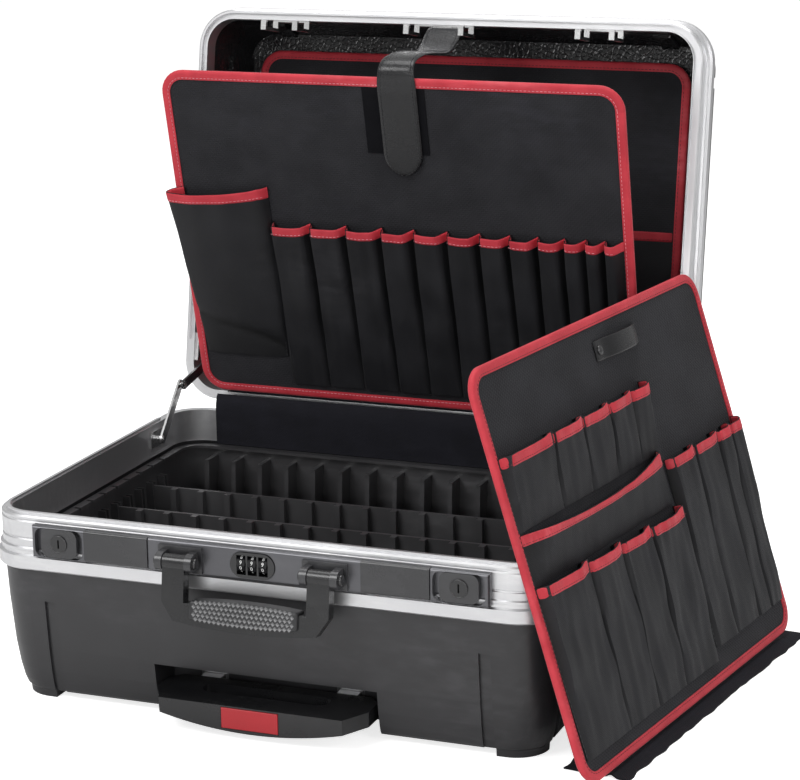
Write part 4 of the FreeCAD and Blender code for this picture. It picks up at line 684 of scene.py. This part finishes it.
def make_binding(name, width, height, corner, place, finishes, body, *replaced, thread="dark thread"):
    """Folded tape round a board's edge, with its stitched line on both faces."""
    path = rounded_path(width, height, corner)
    outer = [(8.0, -2.45), (6.0, -2.75), (3.0, -2.8), (1.2, -2.5), (0.2, -1.4), (0.0, 0.0), (0.2, 1.4),
             (1.2, 2.5), (3.0, 2.8), (6.0, 2.75), (8.0, 2.45)]
    inner = [(8.0, 1.55), (1.6, 1.55), (1.3, 0.0), (1.6, -1.55), (8.0, -1.55)]
    closed = path + path[:1]
    rows = []
    for point, normal in closed:
        rows.append([(point - normal * inward + Vector((0, y, 0))) * MM for inward, y in outer + inner])
    tape = from_rows(name, rows, closed=True)
    face_outwards(tape, merged=True)
    bpy.ops.object.shade_smooth_by_angle(angle=radians(50))
    layer = tape.data.uv_layers.active
    for loop in layer.data:
        loop.uv = (loop.uv[1], loop.uv[0])
    settle(tape, place)
    finish_piece(tape, finishes["tape"], body, "red_binding", *replaced)
    for side, face in (("front", -1), ("rear", 1)):
        line = [point - normal * 6.3 + Vector((0, face * 2.72, 0)) for point, normal in closed]
        stitch_row(name + "_stitches_" + side, line, [Vector((0, face, 0))] * len(line), finishes[thread],
                   body, "red_binding", place=place)
    return tape


def pocket_rows(seams_low, seams_high, low, high, depth_low, depth_high, ramps, columns, v_list, lift=0.0,
                sag=0.0, tilt=0.0, crumple=0.8, corner_rise=0.0):
    """Rows of points of a pocket front, which lies on the board at every seam and stands out between."""
    rows = []
    lifts = []
    for v in v_list:
        row = []
        for number in range(len(seams_high) - 1):
            left = lerp(seams_low[number], seams_high[number], v)
            right = lerp(seams_low[number + 1], seams_high[number + 1], v)
            count = columns + (1 if number == len(seams_high) - 2 else 0)
            for step in range(count):
                u = step / columns
                x = lerp(left, right, u)
                wide = right - left
                fade = 0.3 + 0.7 * v
                rise = eased(u * wide / (ramps[0] * fade)) * eased((1 - u) * wide / (ramps[1] * fade))
                depth = lerp(depth_low, depth_high, v)
                along = v * (high - low)
                fine = noise.noise(Vector((x / 8, along / 55, number * 3.1)))
                broad = noise.noise(Vector((x / 26 + number, along / 34, number * 1.7)))
                slack = crumple * (0.7 * fine + 1.3 * broad)
                out = panel_half + cloth_rise + lift + (depth + slack) * rise
                z = lerp(low, high, v) - sag * sin(pi * u) * v ** 3
                z += corner_rise * eased((u - 0.7) / 0.3) * v ** 6
                z += tilt * (x - seams_high[0]) / (seams_high[-1] - seams_high[0]) * v
                row.append(Vector((x, -out, z)) * MM)
                # Lift value for painted shade: low in the valleys by the seams of deep pockets.
                lifts.append(lerp(1.0, 0.08 + 0.92 * rise, min(depth / 8, 1)))
        rows.append(row)
    return rows, lifts


def band_steps(share, steps):
    """How far up a pocket its rows of points lie: even rows, and closer ones for its bound mouth."""
    cloth = [step / steps * (1 - share) for step in range(steps)] + [1 - share, 1 - share / 2, 1.0]
    mouth = [1 - share * part for part in (1, 0.75, 0.5, 0.2, 0)]
    return cloth, mouth


def sew_pocket(name, make_rows, share, steps, place, finishes, body, replaced, thread):
    """Front cloth, bound mouth and the mouth's stitched line, from a function that gives rows of points."""
    v_cloth, v_mouth = band_steps(share, steps)
    rows, lifts = make_rows(v_cloth, 0.0)
    cloth = from_rows(name, rows)
    # The lift values give the painted shade in the cloth's valleys.
    set_folds(cloth, lifts)
    thicken(cloth, cloth_thickness * MM)
    settle(cloth, place)
    finish_piece(cloth, finishes["pocket cloth"], body, "pocket_cloth", *replaced)
    rows, _ = make_rows(v_mouth, 0.0)
    tape = lay_cloth(name + "_mouth", rows, mouth_thickness, place, finishes["tape"], body,
                     slot_name="red_binding", smooth=1)
    line = [point / MM for point in make_rows([1 - share * 0.78], 1.15)[0][0]]
    stitch_row(name + "_mouth_stitches", line, [Vector((0, -1, 0))] * len(line), finishes[thread], body,
               "red_binding", place=place)
    return cloth


def make_pockets(name, board, seams_low, seams_high, low, high, depths, ramps, place, finishes, body,
                 replaced=(), columns=14, steps=18, band=9.0, thread="dark thread", **shaping):
    """A row of sewn pockets with the stitched seams between them."""

    def make_rows(v_list, lift):
        return pocket_rows(seams_low, seams_high, low, high, *depths, ramps, columns, v_list, lift=lift,
                           **shaping)

    sew_pocket(name, make_rows, band / (high - low), steps, place, finishes, body, replaced, thread)
    for number in range(len(seams_high)):
        first = Vector((seams_low[number], -(panel_half + seam_rise), low + 2))
        last = Vector((seams_high[number], -(panel_half + seam_rise), high - band * 1.1))
        seam = [first.lerp(last, step / 8) for step in range(9)]
        stitch_row(name + "_seam_" + str(number), seam, [Vector((0, -1, 0))] * 9, finishes["black thread"],
                   body, "pocket_cloth", pitch=4.0, place=place)


def make_large_pocket(finishes, body):
    """The wide pocket at the left: its left side stands out past the binding and slants in below."""
    low, high = 41.0, 206.0
    mouth_points = ((-203, 3.6), (-215, 6.5), (-216.5, 11), (-196, 14.2), (-165, 13.2), (-138, 9.8),
                    (-127, 7.4), (-122, 2.3))
    foot_points = ((-200, 2.1), (-201, 2.6), (-200, 3.6), (-185, 4.6), (-162, 4.8), (-140, 4.4), (-126, 3.4),
                   (-122, 2.1))
    mouth_line = curve_points([Vector((x, out, 0)) for x, out in mouth_points])
    foot_line = curve_points([Vector((x, out, 0)) for x, out in foot_points])

    def make_rows(v_list, lift):
        rows, lifts = [], []
        for v in v_list:
            row = []
            for number, (foot, mouth) in enumerate(zip(foot_line, mouth_line)):
                share = number / (len(foot_line) - 1)
                point = foot.lerp(mouth, v)
                crease = lerp(0.33, 0.03, share)
                fold = 2.718 ** -(((v - crease) / 0.028) ** 2)
                tucked = eased((crease - v) / 0.05)
                body_part = eased(share * 4) * eased((1 - share) * 12)
                slack = noise.noise(Vector((point.x / 22, v * 4.5, 5.0))) * 1.6 * body_part * v
                out = point.y + lift + slack - (1.9 * fold + 0.9 * tucked) * body_part
                z = lerp(low, high, v) - 5.0 * sin(pi * min(share * 1.25, 1)) * v ** 3
                z += 3.0 * eased(share) * v ** 5
                row.append(Vector((point.x, -max(out, panel_half + cloth_rise), z)) * MM)
                # Lift value for painted shade along the crease and the tucked cloth below it.
                lifts.append(1 - 0.9 * max(fold, 0.45 * tucked) * body_part)
            rows.append(row)
        return rows, lifts

    sew_pocket("front_large_pocket", make_rows, 10.0 / (high - low), 40, front_place, finishes, body,
               ("front_pockets_left",), "pale thread")
    seam = [Vector((-122.8, -(panel_half + seam_rise), lerp(low, high - 12, step / 8))) for step in range(9)]
    stitch_row("front_large_pocket_seam", seam, [Vector((0, -1, 0))] * 9, finishes["black thread"], body,
               "pocket_cloth", pitch=4.0, place=front_place)


def make_front_board(finishes):
    body = "front_board"
    make_panel("front_board_panel", *front_size, front_place, finishes["panel cloth"], body, "front_board")
    make_binding("front_board_tape", *front_size, front_place, finishes, body, "front_board_binding",
                 thread="pale thread")
    seams = [-120.0, -83.0, -49.0, -15.0, 15.0, 46.0, 76.0, 103.5, 129.0, 153.0, 172.0, 189.0, 204.5]
    make_pockets("front_row", body, seams, seams, 15, 176, (2.4, 10.2), (1.6, 9.5), front_place, finishes,
                 body, ("front_pockets_right",), sag=1.4, crumple=1.3, thread="pale thread")
    make_large_pocket(finishes, body)
    rows = []
    for step in range(19):
        z = 246 + 62 * step / 18
        rows.append([Vector((-21 + 57 * c / 16, -(panel_half + 0.5), z)) * MM for c in range(17)])
    patch = lay_cloth("front_board_loop_patch", rows, 0.9, front_place, finishes["loops"], body)


def make_back_board(finishes):
    body = "back_board"
    make_panel("back_board_panel", *back_size, back_place, finishes["panel cloth"], body, "back_board")
    make_binding("back_board_tape", *back_size, back_place, finishes, body)
    seams = [-204.0 + 408.0 * share for share in (0, 0.2, 0.4, 0.6, 0.8, 1)]
    make_pockets("back_row", body, seams, seams, 40, 162, (0.6, 1.4), (6, 6), back_place, finishes, body,
                 ("back_board_pocket",), columns=12)


def make_loose_board(finishes):
    body = "loose_board"
    shifted = loose_place @ Matrix.Translation((0.207, 0, 0))
    make_panel("loose_board_panel", *loose_size, shifted, finishes["panel cloth"], body, "loose_board")
    make_binding("loose_board_tape", *loose_size, shifted, finishes, body, "loose_board_binding")
    upper = [-200.0, -123.5, -72.3, -24.2, 19.0, 50.5]
    make_pockets("loose_upper", body, upper, upper, 199, 257, (2.0, 10.0), (4.0, 3.0), shifted, finishes,
                 body, ("loose_pockets_upper",), columns=16, steps=10, corner_rise=3.0, crumple=1.5)
    make_pockets("loose_middle", body, [-200.0, 50.5], [-200.0, 48.0], 156, 197, (1.5, 9.0), (40, 12),
                 shifted, finishes, body, columns=48, steps=8, sag=7.0, corner_rise=5.0, crumple=1.2)
    lower = [-200.0, -127.0, -70.0, -16.0, 50.5]
    low = [-196.0, -120.0, -66.0, -14.0, 50.5]
    make_pockets("loose_lower", body, low, lower, 19, 156, (2.4, 11.0), (4.5, 3.0), shifted, finishes, body,
                 ("loose_pockets_lower",), columns=20, tilt=-7.0, corner_rise=4.0, crumple=1.8)
    side = [56.0, 98.0, 147.0, 173.0, 199.5]
    make_pockets("loose_side", body, side, side, 28, 191, (2.2, 10.5), (4.0, 3.0), shifted, finishes, body,
                 columns=14, corner_rise=3.5, crumple=1.5)
    path = ((-7, 2.6), (2, 2.6), (9, 2.8), (16, 6.0), (26, 8.2), (40, 8.8), (52, 8.4), (62, 6.0), (67, 3.0),
            (72, 2.6))
    rows = []
    for c in range(9):
        z = 289 + 17 * c / 8
        rows.append([Vector((x, -out, z)) * MM for x, out in path])
    loop = lay_cloth("loose_board_loop", rows, 1.4, shifted, finishes["strap"], body, smooth=1)
    deselect_all()
    bpy.ops.mesh.primitive_uv_sphere_add(segments=20, ring_count=10, radius=4.2 * MM)
    rivet = bpy.context.object
    rivet.name = "loose_board_rivet"
    rivet.scale = (1, 0.42, 1)
    rivet.location = (0.001, -0.0036, 0.2975)
    bpy.ops.object.transform_apply()
    bpy.ops.object.shade_smooth()
    settle(rivet, shifted)
    finish_piece(rivet, finishes["dark steel"], body, "dark_steel")


def make_strap(finishes):
    """The strap from the lid's frame over the front board, with a round tail and stitched edges."""
    front_out = Vector((0, -front_up.z, front_up.y))
    top = front_foot + front_up * front_size[1]
    knots = [((3, 277.0, 508.9), 34), ((3, 251.7, 513.3), 34.5), ((5, 226.0, 503.0), 34),
             ((8, 200.0, 498.5), 33), ((10, 168.0, 502.0), 31), ((12, 136.0, 505.0), 30),
             ((12, 112.0, 503.0), 31), ((12, 101.5, 495.0), 33)]
    for down in (8, 20, 40, 62, 88):
        place = top + front_out * 4.3 - front_up * down
        knots.append(((12, place.y, place.z), 36))
    line = curve_points([Vector(knot) for knot, _ in knots])
    widths = curve_points([Vector((width, 0, 0)) for _, width in knots])
    crown = ((-1, -0.35), (-0.8, 0), (-0.4, 0.15), (0, 0.2), (0.4, 0.15), (0.8, 0), (1, -0.35))
    stitch_inset, stitch_rise = 3.2, 1.35
    rows, left, right, lifts = [], [], [], []
    for number, (point, width) in enumerate(zip(line, widths)):
        half = width.x / 2
        tail = (line[-1] - point).length
        if tail < half:
            half = max(sqrt(max(half * half - (half - tail) ** 2, 0.0)), 3.0)
        ahead = line[min(number + 1, len(line) - 1)] - line[max(number - 1, 0)]
        up = ahead.cross(Vector((1, 0, 0))).normalized()
        if up.dot(front_out) < 0 and up.z < 0:
            up = -up
        rows.append([(point + Vector((share * half, 0, 0)) + up * rise) * MM for share, rise in crown])
        inset = max(half - stitch_inset, 0.5)
        left.append(point + Vector((-inset, 0, 0)) + up * stitch_rise)
        right.append(point + Vector((inset, 0, 0)) + up * stitch_rise)
        lifts.append(up)
    strap = lay_cloth("lid_strap_webbing", rows, 2.2, unmoved, finishes["strap"], None, "lid_strap", smooth=1)
    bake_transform(strap)
    for side, edge in (("left", left), ("right", right)):
        thread = stitch_row("strap_stitches_" + side, edge, lifts, finishes["black thread"], None,
                            "pocket_cloth", pitch=3.2, length=2.3)
        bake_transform(thread)


def make_flaps(finishes):
    """Cloth flaps: behind the tray, under the front board, and on the floor below the loose board."""
    bead = front_foot - front_up * 1.8
    path = [(171.9, 129.6), (171.9, 145.0), (171.9, 161.0), (172.4, 168.0), (174.6, 174.0),
            (bead.y - 1.4, bead.z - 3.2)]
    rows = []
    for number, (y, z) in enumerate(path):
        row = []
        for c in range(81):
            x = -200 + 400 * c / 80
            slack = 0.35 * noise.noise(Vector((x / 28, number * 0.4, 7.0))) * min(number, 2)
            row.append(Vector((x, y - abs(slack), z)) * MM)
        rows.append(row)
    flap = lay_cloth("rear_cloth_flap", rows, 1.2, unmoved, finishes["flap cloth"], None, "rear_flap")
    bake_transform(flap)
    path = [(bead.y - 0.6, bead.z + 0.2), (bead.y - 0.1, bead.z - 0.5), (bead.y + 0.8, bead.z - 0.1)]
    for y in (0.011, 0.022):
        point = (lid_place @ Vector((0, y, 0.0163))) / MM
        path.append((point.y, point.z))
    rows = [[Vector((-190 + 380 * c / 40, y, z)) * MM for c in range(41)] for y, z in path]
    strip = lay_cloth("board_hinge_cloth", rows, 0.8, unmoved, finishes["flap cloth"], "lid",
                      "board_hinge_strip")
    rows = []
    for r in range(25):
        y = -14 + 54 * r / 24
        row = []
        for c in range(75):
            ragged = 2.2 * noise.noise(Vector((c / 3.0, 0.5, 9.0))) * eased((abs(y - 13) - 20) / 7)
            x = 44 + 370 * c / 74
            hem = 2.6 * eased(1 - abs(y) / 6) * eased((394 - x) / 10)
            lift = 0.9 + hem + 0.35 * max(noise.noise(Vector((x / 35, y / 14, 2.0))), 0)
            row.append(Vector((x, y + ragged, lift)) * MM)
        rows.append(row)
    flap = lay_cloth("loose_cloth_flap", rows, 1.4, floor_place, finishes["flap cloth"], "base",
                     "loose_board_flap")


def make_grip_diamonds(finishes):
    """Small raised diamonds in rows over the front of the grip."""
    deselect_all()
    bpy.ops.mesh.primitive_cone_add(vertices=4, radius1=2.1 * MM, radius2=0.7 * MM, depth=1.0 * MM,
                                    rotation=(radians(90), 0, 0))
    diamond = bpy.context.object
    diamond.scale = (1.0, 1.0, 0.72)
    bpy.ops.object.transform_apply()
    handle_place = Matrix.Translation((0, -0.1985, 0.142)) @ Matrix.Rotation(radians(-8.0), 4, "X")
    pitch, row_pitch, top_row, reach = 4.0, 2.9, -29.6, 43
    copies = []
    for row in range(5):
        for column in range(-11, 12):
            x = column * pitch + (pitch / 2 if row % 2 else 0)
            if abs(x) > reach:
                continue
            arch = 2.0 * (1 - (x / 46.5) ** 2)
            z = top_row - row * row_pitch + arch * (1 - row / 2)
            piece = diamond.copy()
            piece.data = diamond.data.copy()
            bpy.context.scene.collection.objects.link(piece)
            piece.matrix_world = Matrix.Translation((x * MM, -0.0083, z * MM))
            copies.append(piece)
    bpy.data.objects.remove(diamond)
    pattern = join_all(copies, "grip_diamonds")
    bpy.ops.object.transform_apply()
    settle(pattern, handle_place)
    finish_piece(pattern, finishes["knurl"], "carry_handle", "grip_rubber")


def make_key_rings(finishes):
    for side, x in (("right", 0.1715), ("left", -0.1715)):
        deselect_all()
        bpy.ops.mesh.primitive_torus_add(location=(x, -0.1895, 0.1425), rotation=(radians(90), 0, 0),
                                         major_segments=40, minor_segments=8, major_radius=6.9 * MM,
                                         minor_radius=0.45 * MM)
        ring = bpy.context.object
        ring.name = "key_ring_" + side
        bpy.ops.object.transform_apply()
        bpy.ops.object.shade_smooth()
        finish_piece(ring, finishes["dark steel"], "key_cylinder_" + side, "dark_steel")


def make_digits(finishes):
    """The plain numbers round the three wheels."""
    wheel_radius = 0.00716
    for wheel, x in enumerate((-9.4, 0.0, 9.4)):
        pieces = []
        for digit in range(10):
            deselect_all()
            bpy.ops.object.text_add(location=(0, 0, 0), rotation=(radians(90), 0, 0))
            text = bpy.context.object
            text.data.body = str(digit)
            text.data.size = 4.4 * MM
            text.data.extrude = 0.06 * MM
            text.data.align_x = "CENTER"
            text.data.align_y = "CENTER"
            bpy.ops.object.convert(target="MESH")
            turned = Matrix.Rotation(radians(36.0 * digit + 18.0), 4, "X")
            text.data.transform(Matrix.Translation((x * MM, -0.1843, 0.1425)) @ turned
                                @ Matrix.Translation((0, -wheel_radius, 0)) @ text.matrix_world)
            text.matrix_world = unmoved
            pieces.append(text)
        numbers = join_all(pieces, "wheel_numbers_" + str(wheel + 1))
        finish_piece(numbers, finishes["digits"], "dial_" + str(wheel + 1), "gloss_black")


set_camera()
set_studio()
add_floor()
finishes = set_finishes()
make_front_board(finishes)
make_back_board(finishes)
make_loose_board(finishes)
make_strap(finishes)
make_flaps(finishes)
make_grip_diamonds(finishes)
make_key_rings(finishes)
make_digits(finishes)
